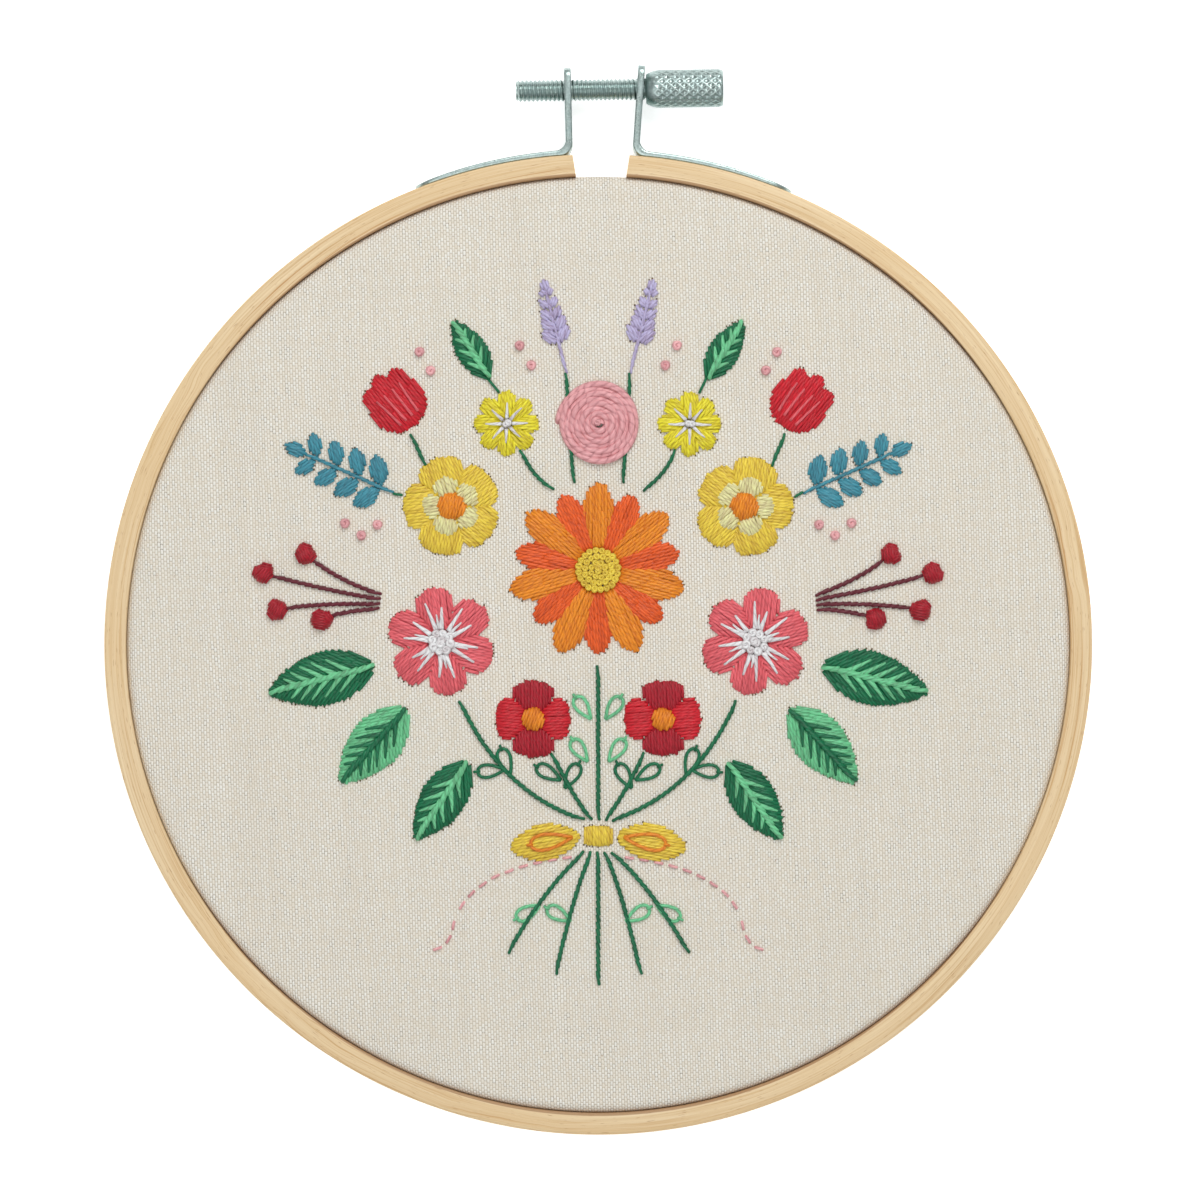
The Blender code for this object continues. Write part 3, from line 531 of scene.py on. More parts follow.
def cloth_profile():
    """The cloth's section as (radius, height, distance from the middle in the flat cut), face then back."""
    face_edge = SKIRT - CLOTH_TURN
    face = [(face_edge * (step / 30) ** 0.8, FACE, face_edge * (step / 30) ** 0.8) for step in range(1, 31)]
    turn = []
    back_turn = []
    steps = 6
    for step in range(1, steps + 1):
        angle = math.pi / 2 * step / steps
        flat = face_edge + CLOTH_TURN * angle
        for rim, radius in ((turn, CLOTH_TURN), (back_turn, CLOTH_TURN - CLOTH_THICK)):
            across = face_edge + radius * math.sin(angle)
            rim.append((across, FACE - CLOTH_TURN + radius * math.cos(angle), flat))
    skirt = []
    back_skirt = []
    corner = face_edge + CLOTH_TURN * math.pi / 2
    drop = FACE - CLOTH_TURN - CLOTH_HEM
    for step in range(1, 5):
        fall = drop * step / 4
        skirt.append((SKIRT, FACE - CLOTH_TURN - fall, corner + fall))
        back_skirt.append((SKIRT - CLOTH_THICK, FACE - CLOTH_TURN - fall, corner + fall))
    back = [(radius, height - CLOTH_THICK, flat) for radius, height, flat in face]
    front = face + turn + skirt
    return front + list(reversed(back + back_turn + back_skirt)), corner + drop


def build_cloth(canvas):
    """One sheet with a drum-tight face, turned over the inner ring and held between the rings."""
    profile, cut_radius = cloth_profile()
    count = RING_STEPS
    points = []
    flats = []
    for radius, height, flat in profile:
        for step in range(count):
            angle = 2 * math.pi * step / count
            x, y = oval(radius, angle)
            slack = 0.05 * math.sin(x / 9 + 1.3 * math.sin(y / 13)) * math.cos(y / 11)
            inside = min(1.0, max(0.0, (SKIRT - CLOTH_TURN - radius) / 8))
            points.append((x, y, height + slack * inside))
            flats.append((flat * math.cos(angle), flat * math.sin(angle)))
    rows = len(profile)
    faces = []
    for row in range(rows - 1):
        for i in range(count):
            j = (i + 1) % count
            low, high = row * count, (row + 1) * count
            faces.append((low + i, high + i, high + j, low + j))
    for start, flip in ((0, False), ((rows - 1) * count, True)):
        middle = len(points)
        level = FACE - CLOTH_THICK if flip else FACE
        points.append((0, 0, level))
        flats.append((0, 0))
        for i in range(count):
            j = (i + 1) % count
            face = (middle, start + i, start + j)
            faces.append(tuple(reversed(face)) if flip else face)
    cloth = mesh_piece("canvas_cloth", points, faces, canvas)
    layer = cloth.data.uv_layers.new(name="UVMap")
    corners = np.zeros(len(cloth.data.loops), np.int32)
    cloth.data.loops.foreach_get("vertex_index", corners)
    layer.data.foreach_set("uv", np.asarray(flats, np.float32)[corners].ravel())
    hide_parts("cloth")


def strip_section(point, normal, half_thick, half_width):
    """One section of a bent strip with rounded edges."""
    cut = 0.22
    points = []
    for across, up, start in ((1, 1, 0), (-1, 1, 90), (-1, -1, 180), (1, -1, 270)):
        for step in range(3):
            turn = math.radians(start + 45 * step)
            a = across * (half_thick - cut) + cut * math.cos(turn)
            b = up * (half_width - cut) + cut * math.sin(turn)
            points.append((point.x + normal.x * a, point.y + normal.y * a, RING_DEPTH / 2 + b))
    return points


def bracket_sections(lug_x, lean, lug_top, foot_end):
    """Sections of one bracket, from the lug's top down, round the bend and along the foot to its tongue."""
    side = 1 if lug_x > 0 else -1
    up = Vector((side * math.sin(lean), math.cos(lean)))
    foot_radius = RING_RADIUS + SEAT + FOOT_THICK / 2
    corner_x = lug_x - up.x / up.y * (LUG_FOOT_Y - foot_radius)
    corner_angle = math.acos(corner_x / (foot_radius + OVAL))
    corner = Vector(oval(foot_radius, corner_angle))
    along = Vector((side * math.sin(corner_angle), -side * math.cos(corner_angle)))
    opening = up.angle(along)
    reach = BEND_RADIUS / math.tan(opening / 2)
    bend_middle = corner + (up + along).normalized() * (BEND_RADIUS / math.sin(opening / 2))
    half = STRIP_WIDTH / 2
    sections = []
    top = corner + up * ((lug_top - corner.y) / up.y)
    lug_normal = Vector((up.y, -up.x)) * side
    lug_length = (top - corner).length - reach
    for step in range(7):
        fall = LUG_CORNER * (1 - math.cos(math.pi / 2 * step / 6))
        inset = LUG_CORNER * (1 - math.sin(math.pi / 2 * step / 6))
        sections.append(strip_section(top - up * fall, lug_normal, LUG_THICK / 2, half - inset))
    for step in range(1, 5):
        fall = LUG_CORNER + (lug_length - LUG_CORNER) * step / 4
        sections.append(strip_section(top - up * fall, lug_normal, LUG_THICK / 2, half))
    start = corner + up * reach - bend_middle
    steps = 14
    for step in range(1, steps + 1):
        share = step / steps
        spoke = Matrix.Rotation(side * (math.pi - opening) * share, 2) @ start
        thick = LUG_THICK + (FOOT_THICK - LUG_THICK) * share
        thick += (BEND_THICK - (LUG_THICK + FOOT_THICK) / 2) * math.sin(math.pi * share)
        sections.append(strip_section(bend_middle + spoke, -spoke.normalized(), thick / 2, half))
    foot_start = corner_angle - side * reach / foot_radius
    tongue = half / foot_radius
    straight_end = foot_end + side * tongue
    stations = [(foot_start + (straight_end - foot_start) * i / 24, 0.0) for i in range(1, 25)]
    for step in range(1, 9):
        past = math.sin(math.pi / 2 * step / 8.2)
        stations.append((straight_end - side * tongue * past, past))
    for angle, past in stations:
        share = (angle - foot_start) / (foot_end - foot_start)
        thick = FOOT_THICK + (TONGUE_THICK - FOOT_THICK) * share**3
        radius = RING_RADIUS + SEAT + thick / 2
        normal = Vector((math.cos(angle), math.sin(angle)))
        width = max(0.3, half * math.sqrt(1 - past**2))
        sections.append(strip_section(Vector(oval(radius, angle)), normal, thick / 2, width))
    return sections


def on_screw_axis(points):
    """Points given along the screw's axis from its free end, as they lie on the hoop."""
    turn = Matrix.Rotation(SCREW_TILT, 3, "Z")
    start = Vector((*SCREW_END, RING_DEPTH / 2))
    return [tuple(turn @ Vector(point) + start) for point in points]


def build_brackets(steel):
    """Two bent strips whose feet lie on the wood, each with a round hole for the screw."""
    for side, *sizes in BRACKETS:
        sections = bracket_sections(*sizes)
        count = len(sections[0])
        points = [point for section in sections for point in section]
        faces = loft_faces(len(sections), count)
        if side == "left":
            faces = flipped(faces)
        middle = sizes[0] - SCREW_END[0]
        ends = (middle - LUG_HOLE_REACH, middle + LUG_HOLE_REACH)
        hole, hole_faces = turned_surface(ends, LUG_HOLE_SIDES, lambda x, angle: LUG_HOLE_RADIUS)
        cutter = mesh_object("lug_hole", on_screw_axis(hole), hole_faces)
        strip = mesh_piece(f"zinc_bracket_{side}", points, faces, steel, smooth_angle=50, cutter=cutter)
        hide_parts(f"bracket_{side}")


def turned_surface(stations, sides, radius_at):
    """Points and faces of a body round the X axis, whose radius is told at each station and angle."""
    points = []
    for x in stations:
        for i in range(sides):
            angle = 2 * math.pi * i / sides
            radius = radius_at(x, angle)
            points.append((x, radius * math.cos(angle), radius * math.sin(angle)))
    return points, loft_faces(len(stations), sides)


def shank_radius(x, angle):
    """The rolled thread: rounded crests and roots on one helix, run out at both ends."""
    turn = (x / THREAD_PITCH - angle / (2 * math.pi)) % 1
    groove = THREAD_DEPTH * (0.5 + 0.5 * math.cos(2 * math.pi * turn)) ** 0.8
    lead = min(1.0, max(0.0, x / 0.5))
    return SHANK_RADIUS - THREAD_DEPTH * (1 - lead) - groove * lead


def head_radius(x, angle):
    """The domed shoulder, the knurl's two crossing helices of ridges, and the chamfer."""
    dome = min(1.0, (x - HEAD_START) / (KNURL_START + 1.2 - HEAD_START))
    body = SHOULDER_RADIUS + (HEAD_RADIUS - SHOULDER_RADIUS) * math.sin(math.pi / 2 * dome) ** 0.8
    past = max(0.0, x - (HEAD_END - 0.9))
    body -= 0.35 * past**2
    around = KNURL_TEETH * angle / (2 * math.pi)
    ridge = 0.0
    for lean in (1, -1):
        wave = abs(((around + lean * x / KNURL_PITCH) % 1) * 2 - 1)
        ridge = max(ridge, 1 - (1 - wave) * 1.15 if wave > 0.35 else 0.25)
    fade = min(1.0, max(0.0, (x - KNURL_START) / 1.2)) * min(1.0, max(0.0, (HEAD_END - 0.45 - x) / 0.3))
    return body - KNURL_DEPTH * fade * (1 - max(0.0, ridge))


def build_screw(steel):
    """Shank and knurled head, one rigid piece on the screw's axis."""
    steps = math.ceil(THREAD_LENGTH / THREAD_PITCH * THREAD_STEPS)
    stations = [THREAD_LENGTH * i / steps for i in range(steps + 1)]
    points, faces = turned_surface(stations, 40, shank_radius)
    stations = [HEAD_START]
    fine = int((HEAD_END - HEAD_START) / 0.12)
    stations += [HEAD_START + (HEAD_END - HEAD_START) * i / fine for i in range(1, fine + 1)]
    head_points, head_faces = turned_surface(stations, 150, head_radius)
    offset = len(points)
    faces += [tuple(offset + i for i in face) for face in head_faces]
    points += head_points
    placed = on_screw_axis(points)
    screw = mesh_piece("zinc_thumb_screw", placed, faces, steel, body="thumb_screw", smooth_angle=60)
    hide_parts("thumb_screw")


class Floss:
    """Stitches of one colour, gathered into one mesh. Each is a flattened tube along its path."""

    def __init__(self, colour):
        self.colour = colour
        self.points = []
        self.faces = []
        self.coords = []
        self.shades = []
        self.last_end = None

    def strand(self, path, width=THREAD, high=THREAD_HIGH, sides=6):
        """Add one tube. width and high are its full sizes, each one number or one for each station."""
        path = np.asarray(path, float)
        count = len(path)
        run = np.gradient(path, axis=0)
        flat = run.copy()
        flat[:, 2] = 0
        chord = path[-1] - path[0]
        chord[2] = 0
        weak = np.linalg.norm(flat, axis=1) < 1e-4
        flat[weak] = chord
        side = np.stack([-flat[:, 1], flat[:, 0], flat[:, 2]], axis=1)
        side /= np.linalg.norm(side, axis=1)[:, None] + 1e-12
        run /= np.linalg.norm(run, axis=1)[:, None] + 1e-12
        rise = np.cross(run, side)
        turns = 2 * np.pi * np.arange(sides) / sides - np.pi / 2
        wide = np.broadcast_to(np.asarray(width, float), (count,))[:, None, None] / 2
        tall = np.broadcast_to(np.asarray(high, float), (count,))[:, None, None] / 2
        across = side[:, None, :] * np.cos(turns)[None, :, None] * wide
        upward = rise[:, None, :] * np.sin(turns)[None, :, None] * tall
        first = len(self.points)
        self.points.extend((path[:, None, :] + across + upward).reshape(-1, 3).tolist())
        length = np.concatenate([[0], np.cumsum(np.linalg.norm(np.diff(path, axis=0), axis=1))])
        for i in range(count - 1):
            low = first + i * sides
            high_row = low + sides
            for k in range(sides):
                m = (k + 1) % sides
                self.faces.append((low + k, low + m, high_row + m, high_row + k))
                left, right = k / sides, (k + 1) / sides
                ahead = length[i + 1]
                self.coords += [length[i], left, length[i], right, ahead, right, ahead, left]
        self.faces.append(tuple(range(first + sides - 1, first - 1, -1)))
        last = first + (count - 1) * sides
        self.faces.append(tuple(range(last, last + sides)))
        self.coords += [length[0], 0.0] * sides + [length[-1], 0.0] * sides
        self.shades += [random.random()] * (count * sides)

    def lay(
        self, start, end, level=0.25, crown=0.0, sinks=(SINK, SINK), width=THREAD, high=THREAD_HIGH, sway=0.07
    ):
        """A stitch from one place to another. level may be a function of the share of its way."""
        start, end = np.asarray(start, float), np.asarray(end, float)
        length = np.linalg.norm(end - start)
        if length < 0.35:
            return
        ahead = (end - start) / length
        aside = np.array([-ahead[1], ahead[0]]) * random.normal(0, sway)
        bend = min(0.32, 0.3 * length)
        inner = np.linspace(bend, length - bend, 2 + int(length / 2.2))
        marks = np.concatenate([[0, 0.4 * bend], inner, [length - 0.4 * bend, length]])
        shares = marks / length
        rise = np.array([level(t) if callable(level) else level for t in shares])
        rise = rise + crown * (1 - (2 * shares - 1) ** 4)
        for index, near, sink in ((0, 1, sinks[0]), (-1, -2, sinks[1])):
            rise[near] = rise[near] * 0.72 + sink * 0.28
            rise[index] = sink
        plan = start + ahead * marks[:, None] + aside * np.sin(np.pi * shares)[:, None]
        taper = np.ones(len(marks))
        taper[[0, -1]] = 0.7
        wide = np.asarray(width, float) if np.ndim(width) else np.full(2, width)
        spread = wide[0] + (wide[-1] - wide[0]) * shares
        self.strand(np.column_stack([plan, rise]), spread * taper, high * taper)
        self.tail(start, end)

    def pad(self, outline, level):
        """A flat, closed underlay inside an outline, so that no cloth shows between the stitches. Its shade
        is 0, the dark end of the threads' tone, as painted shade between the stitches.
        """
        outline = np.asarray(outline, float)
        middle = outline.mean(axis=0)
        reach = np.linalg.norm(outline - middle, axis=1).mean()
        inner = middle + (outline - middle) * max(0.5, 1 - 0.3 / reach)
        ahead = np.roll(inner, -1, axis=0)
        if np.sum(inner[:, 0] * ahead[:, 1] - ahead[:, 0] * inner[:, 1]) < 0:
            inner = inner[::-1]
        first = len(self.points)
        count = len(inner)
        self.points += [(x, y, z) for z in (level - UNDERLAY, level) for x, y in inner.tolist()]
        self.faces += [tuple(first + i for i in face) for face in loft_faces(2, count)]
        self.coords += [0.0, 0.0] * 6 * count
        # shade 0 gives the underlay the dark end of the threads' tone: painted shade between the stitches.
        self.shades += [0.0] * 2 * count

    def tail(self, start, end):
        """The thread's way behind the cloth from the last stitch's end to this one's start."""
        if self.last_end is not None and 0.6 < np.linalg.norm(start - self.last_end) < 14:
            depth = -CLOTH_THICK - 0.12
            span = start - self.last_end
            marks = ((0.0, -0.4), (0.12, depth), (0.5, depth - 0.12), (0.88, depth), (1.0, -0.4))
            path = [(*(self.last_end + span * share), z) for share, z in marks]
            self.strand(path, THREAD * 0.9, THREAD_HIGH, sides=4)
        self.last_end = end

    def piece(self, name, *nodes):
        """Make the mesh, let it stand for the nodes, and give it its finish."""
        world = np.asarray(self.points)
        world[:, 2] += FACE
        made = mesh_piece(name, world, self.faces, thread_of(self.colour))
        layer = made.data.uv_layers.new(name="UVMap")
        layer.data.foreach_set("uv", np.asarray(self.coords, np.float32))
        shade = made.data.attributes.new("shade", "FLOAT", "POINT")
        shade.data.foreach_set("value", np.asarray(self.shades, np.float32))
        if nodes:
            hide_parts(*nodes)
        return made


def thread_of(colour):
    """The material of one thread colour, made once."""
    return bpy.data.materials.get(colour) or thread_material(colour)


def turned(points, degrees, x=0.0, y=0.0, side=1):
    """Points turned from +Y towards +X, moved to their place and mirrored to their side."""
    angle = math.radians(degrees)
    c, s = math.cos(angle), math.sin(angle)
    points = np.asarray(points, float)
    across = points[:, 0] * c + points[:, 1] * s + x
    return np.column_stack([across * side, -points[:, 0] * s + points[:, 1] * c + y])


def heading(degrees, side):
    """The angle from +X of a direction turned from +Y towards +X, on a side."""
    return math.pi / 2 - math.radians(degrees) * side


def crossings(outline, level):
    """Where a closed outline crosses a line of constant Y, in order."""
    x0, y0 = outline[:, 0], outline[:, 1]
    x1, y1 = np.roll(x0, -1), np.roll(y0, -1)
    hit = (y0 <= level) != (y1 <= level)
    return sorted(x0[hit] + (level - y0[hit]) / (y1[hit] - y0[hit]) * (x1[hit] - x0[hit]))


HOLES = []


def satin(floss, outline, angle, crown=0.45, longest=7.0, ragged=0.12, pitch=PITCH, base=0.2):
    """Cover an outline with stitches side by side at an angle. Long ones are split into long and short."""
    outline = np.asarray(outline, float)
    ahead = np.array([math.cos(angle), math.sin(angle)])
    aside = np.array([-ahead[1], ahead[0]])
    local = np.column_stack([outline @ ahead, outline @ aside])
    low, high = local[:, 1].min(), local[:, 1].max()
    rows = max(1, round((high - low) / pitch))
    floss.pad(outline, base - 0.05)
    for row in range(rows):
        level = low + (row + 0.5) * (high - low) / rows
        hits = crossings(local, level)
        body = 1 - abs(2 * (row + 0.5) / rows - 1) ** 2.5
        for start, end in zip(hits[::2], hits[1::2]):
            start += random.normal(0, ragged)
            end += random.normal(0, ragged)
            if end - start < 0.7:
                continue
            parts = max(1, math.ceil((end - start) / longest))
            cuts = [start]
            for part in range(1, parts):
                cuts.append(start + (end - start) * (part + random.uniform(-0.32, 0.32)) / parts)
            cuts.append(end)
            for part, (first, last) in enumerate(zip(cuts, cuts[1:])):
                first -= 0.25 if part else 0.0

                def height(share):
                    way = (first + (last - first) * share - start) / (end - start)
                    return base + crown * body * (1 - abs(2 * way - 1) ** 3)

                sinks = (
                    SINK if part == 0 else height(0) - 0.35,
                    SINK if part == parts - 1 else height(1) - 0.35,
                )
                a = ahead * first + aside * (level + random.normal(0, 0.03))
                b = ahead * last + aside * (level + random.normal(0, 0.03))
                floss.lay(a, b, height, sinks=sinks, high=THREAD_HIGH * random.uniform(0.85, 1.2), sway=0.05)
            for reach, out in ((start, -1), (end, 1)):
                if random.random() < 0.4:
                    HOLES.append(ahead * (reach + 0.14 * out) + aside * (level + 0.5 * pitch))


def petal(inner, outer, half, broad=0.62, foot=0.4, tip=2.0, count=14):
    """A petal's outline along +Y, with its widest place at a share of its length and a round tip."""
    right = []
    for step in range(count + 1):
        share = step / count
        if share < broad:
            swell = math.sin(math.pi / 2 * share / broad) ** 1.2
            width = half * (foot + (1 - foot) * swell)
        else:
            width = half * (1 - ((share - broad) / (1 - broad)) ** tip) ** 0.5
        right.append((width, inner + (outer - inner) * share))
    return np.array(right + [(-x, y) for x, y in reversed(right[:-1])])


def sides_of(name):
    """The name and the X factor of each copy that a row asks for."""
    if "*" not in name:
        return [(name, 1)]
    return [(name.replace("*", "right"), 1), (name.replace("*", "left"), -1)]


def french_knot(floss, x, y, size=1.0, level=0.3):
    """A knot: thread wound twice round its middle, its end tucked down through it."""
    start = random.uniform(0, 2 * math.pi)
    steps = 20
    path = []
    for i in range(steps + 1):
        share = i / steps
        angle = start + 2 * math.pi * 2.1 * share
        reach = size * (0.40 - 0.10 * share) * (1 + 0.08 * math.sin(3 * angle))
        if share > 0.9:
            reach *= (1 - share) / 0.1
        z = level + size * 0.32 * min(1, share * 1.7) - (size * 0.35 if share == 1 else 0)
        path.append((x + reach * math.cos(angle), y + reach * math.sin(angle), z))
    path.insert(0, (path[0][0], path[0][1] - 0.01, level - 0.5))
    floss.strand(path, size * 0.46, size * 0.42, sides=7)


def knot_cluster(floss, x, y, radius, size=1.05, level=0.25, dome=0.5):
    """Knots packed over a disc in rings, higher in the middle."""
    rings = max(1, round(radius / (size * 0.92)))
    for ring in range(rings):
        reach = radius * (ring + 0.25) / rings
        count = max(1, round(2 * math.pi * reach / (size * 0.95)))
        spin = random.uniform(0, 6)
        for i in range(count):
            angle = spin + 2 * math.pi * i / count
            far = reach + random.normal(0, 0.06)
            z = level + dome * (1 - (reach / radius) ** 2)
            spot = (x + far * math.cos(angle), y + far * math.sin(angle))
            french_knot(floss, *spot, size * random.uniform(0.9, 1.1), z)


def bezier(start, control, end, count=24):
    """Points of a quadratic curve, its two ends included."""
    t = np.linspace(0, 1, count)[:, None]
    start, control, end = (np.asarray(p, float) for p in (start, control, end))
    return start * (1 - t) ** 2 + control * 2 * t * (1 - t) + end * t**2


def along_path(path, distance):
    """The point at a distance along a path, and the direction there."""
    path = np.asarray(path, float)
    steps = np.linalg.norm(np.diff(path, axis=0), axis=1)
    marks = np.concatenate([[0], np.cumsum(steps)])
    distance = min(max(distance, 0), marks[-1])
    point = np.array([np.interp(distance, marks, path[:, 0]), np.interp(distance, marks, path[:, 1])])
    index = min(len(steps) - 1, max(0, int(np.searchsorted(marks, distance) - 1)))
    return point, (path[index + 1] - path[index]) / steps[index]


def path_length(path):
    return float(np.linalg.norm(np.diff(np.asarray(path, float), axis=0), axis=1).sum())


def stem_stitch(floss, path, width=1.0, stitch=2.6, level=0.28):
    """A rope of slanted stitches, each begun halfway along the one before and beside it."""
    length = path_length(path)
    steps = max(1, round(2 * length / stitch) - 1)
    step = length / (steps + 1)
    for i in range(steps):
        start, ahead = along_path(path, i * step)
        end, on = along_path(path, (i + 2) * step)
        aside = np.array([-ahead[1], ahead[0]]) * width * 0.2
        out = np.array([-on[1], on[0]]) * width * 0.2
        floss.lay(start - aside, end + out, level, 0.12, width=width * 0.62, high=width * 0.55, sway=0.03)


def running_stitch(floss, path, stitch=1.7, gap=1.1):
    """Short stitches with gaps between them."""
    for i in range(int(path_length(path) / (stitch + gap))):
        start, _ = along_path(path, i * (stitch + gap))
        end, _ = along_path(path, i * (stitch + gap) + stitch)
        floss.lay(start, end, 0.2, 0.1, width=0.6)


def lazy_daisy(floss, x, y, degrees, length, width, side=1, level=0.26):
    """A looped chain stitch, held down at its tip."""
    loop = []
    for i in range(19):
        turn = 2 * math.pi * i / 18
        reach = (1 - math.cos(turn)) / 2
        loop.append((-width / 2 * math.sin(turn) * reach**0.6 * 1.25, length * reach))
    plan = turned(loop, degrees, x, y, side)
    z = np.full(len(plan), level)
    z[[0, -1]] = SINK
    floss.strand(np.column_stack([plan, z]), 0.72, 0.5)
    tie = turned([(0, length - 0.45), (0, length + 0.75)], degrees, x, y, side)
    floss.lay(tie[0], tie[1], level + 0.16, 0.1, width=0.6)


def build_flowers():
    """Satin petals, what is laid over them, and the centres."""
    white = Floss("white")
    for name, x, y, radius, petals, turn, inner, half in FLOWERS:
        kind = name.split("_")[0]
        colours = PETAL_COLOURS[kind]
        for label, side in sides_of(name):
            flosses = [Floss(colour) for colour, _ in colours]
            cream = Floss("cream")
            for number in range(petals):
                degrees = 90 - turn - 360 * number / petals
                which = number % len(colours)
                size = colours[which][1]
                reach = radius * size * random.uniform(0.97, 1.02)
                shape = petal(inner, reach, half * size, tip=1.5 if kind == "daisy" else 2.4)
                lean = heading(degrees, side) + random.uniform(-0.09, 0.09)
                outline = turned(shape, degrees, x, y, side)
                satin(flosses[which], outline, lean, crown=0.45 if size == 1 else 0.25, longest=8.5)
                if kind in RAYS:
                    lay_rays(white, x * side, y, heading(degrees, side), radius, RAYS[kind])
                if kind == "primrose":
                    shape = petal(1.6, 0.62 * reach, 2.3, broad=0.55, tip=1.5)
                    outline = turned(shape, degrees, x, y, side)
                    satin(cream, outline, lean, crown=0.25, base=0.65)
            flosses[0].piece(f"{label}_petal_stitches", f"{label}_petals" if kind != "aster" else label)
            for floss in flosses[1:]:
                floss.piece(f"{label}_{floss.colour}_stitches")
            if cream.points:
                cream.piece(f"{label}_cream_stitches")
            build_centre(kind, label, x * side, y, white)
    white.piece("white_stitches")


def lay_rays(floss, x, y, angle, radius, rays):
    """Straight stitches over a petal, wide at the foot and fine at the tip."""
    for off, inner, outer, width in rays:
        spread = angle + off + random.normal(0, 0.03)
        way = np.array([math.cos(spread), math.sin(spread)])
        spot = np.array([x, y])
        tip = spot + way * radius * (outer + random.normal(0, 0.03))
        floss.lay(spot + way * inner, tip, 0.85, 0.05, sinks=(0.3, 0.3), width=(width, width * 0.4))


def build_centre(kind, label, x, y, white):
    """The middle of a flower: packed knots, or a high round of satin."""
    if kind == "aster":
        knot_cluster(white, x, y, 1.3, 1.1, 0.45, 0.2)
        return
    centre = Floss({"daisy": "yellow", "cosmos": "white"}.get(kind, "orange"))
    if kind == "daisy":
        knot_cluster(centre, x, y, 4.5, 1.2, 0.4, 0.75)
    elif kind == "cosmos":
        knot_cluster(centre, x, y, 2.8, 1.5, 0.5, 0.35)
    else:
        size = 2.6 if kind == "primrose" else 2.1
        turns = np.linspace(0, 2 * math.pi, 28, endpoint=False)
        disc = np.column_stack([x + size * np.cos(turns), y + size * np.sin(turns)])
        satin(centre, disc, 1.2, crown=0.7, base=0.85, pitch=0.5)
    centre.piece(f"{label}_centre_stitches", f"{label}_centre")


def build_rose():
    """A woven wheel: thread wound outwards over and under five spokes."""
    x, y, radius = ROSE
    floss = Floss("pink")
    spokes = 5
    turns = 7.5
    steps = int(turns * 40)
    path = []
    for i in range(steps + 1):
        share = i / steps
        angle = 2 * math.pi * turns * share
        reach = 0.5 + (radius - 0.9) * share ** 0.92
        over = math.cos(spokes / 2 * angle)
        z = 0.55 + 0.35 * (1 - share) + 0.22 * over
        reach *= 1 + 0.02 * over
        path.append((x + reach * math.cos(angle), y + reach * math.sin(angle), z))
    path[-1] = (*path[-1][:2], SINK)
    floss.strand(path, 1.25, 0.9, sides=8)
    knot_cluster(floss, x, y, 1.0, 1.3, 0.9, 0.1)
    floss.piece("rose_woven_stitches", "rose")


def tulip_outline(radius):
    """A cup with three tips, along +Y."""
    outline = []
    for degrees in range(0, 360, 4):
        off = abs((degrees + 180) % 360 - 180)
        if off <= 54:
            share = 0.80 + 0.20 * abs(math.cos(math.pi * off / 36))
        else:
            share = 0.80 - 0.1 * (off - 54) / 126
        angle = math.radians(degrees)
        outline.append((radius * share * math.sin(angle), radius * share * math.cos(angle)))
    return outline


def build_tulips():
    """Red cups in satin, with a few lighter threads drawn over them."""
    x, y, radius, turn = TULIP
    for label, side in sides_of("tulip_*"):
        floss = Floss("red")
        outline = turned(tulip_outline(radius), turn, x, y, side)
        satin(floss, outline, heading(turn, side), crown=0.5, longest=8)
        floss.piece(f"{label}_stitches", label)
        lines = Floss("coral")
        for off in (-26, -9, 9, 26):
            bent = radius * math.sin(math.radians(off)) * 0.9
            span = turned([(bent * 0.75, -radius * 0.45), (bent, radius * 0.45)], turn, x, y, side)
            lines.lay(span[0], span[1], 0.85, 0.05, sinks=(0.4, 0.4), width=(0.6, 0.4))
        lines.piece(f"{label}_lines")


def leaf_half_width(share, width):
    return max(0.12, width * math.sin(math.pi * share**0.85) ** 0.8)


def build_leaves():
    """Fishbone leaves in one green with midrib and veins in the other."""
    for name, x, y, turn, length, width, colour, vein_colour in LEAVES:
        for label, side in sides_of(name):
            floss = Floss(colour)
            veins = Floss(vein_colour)
            shares = np.linspace(0, 1, 25)
            edge = [(leaf_half_width(s, width), length * s) for s in shares]
            for hand in (1, -1):
                half = [(0.0, 0.0)] + [(hand * w, h) for w, h in edge] + [(0.0, length)]
                outline = turned(half, turn, x, y, side)
                angle = heading(turn + hand * 38, side)
                satin(floss, outline, angle, crown=0.4, longest=7, ragged=0.1)
                count = max(2, round(length / 4.2))
                for i in range(count):
                    share = 0.16 + 0.62 * (i + (0.5 if hand < 0 else 0.1)) / count
                    reach = leaf_half_width(share + 0.12, width) * 0.85
                    rise = length * share
                    stretch = [(0.0, rise), (hand * reach * 0.82, rise + reach * 1.0)]
                    span = turned(stretch, turn, x, y, side)
                    veins.lay(span[0], span[1], 0.72, 0.08, sinks=(0.3, 0.3), width=(1.25, 0.4))
            rib = turned([(0, 0.2), (0, length * 0.5), (0, length * 0.97)], turn, x, y, side)
            stem_stitch(veins, rib, 1.5, 3.0, 0.7)
            floss.piece(f"{label}_stitches", label)
            veins.piece(f"{label}_veins")


def small_leaf(floss, x, y, turn, side, foot, lean, length, half):
    """A little satin leaf on a spray, given in the spray's own frame."""
    shape = [(half * math.sin(math.pi * s) ** 0.75, length * s) for s in np.linspace(0, 1, 11)]
    shape += [(-a, b) for a, b in reversed(shape[1:-1])]
    outline = turned(turned(shape, lean, *foot), turn, x, y, side)
    satin(floss, outline, heading(turn + lean, side), crown=0.35, ragged=0.08, pitch=0.5)


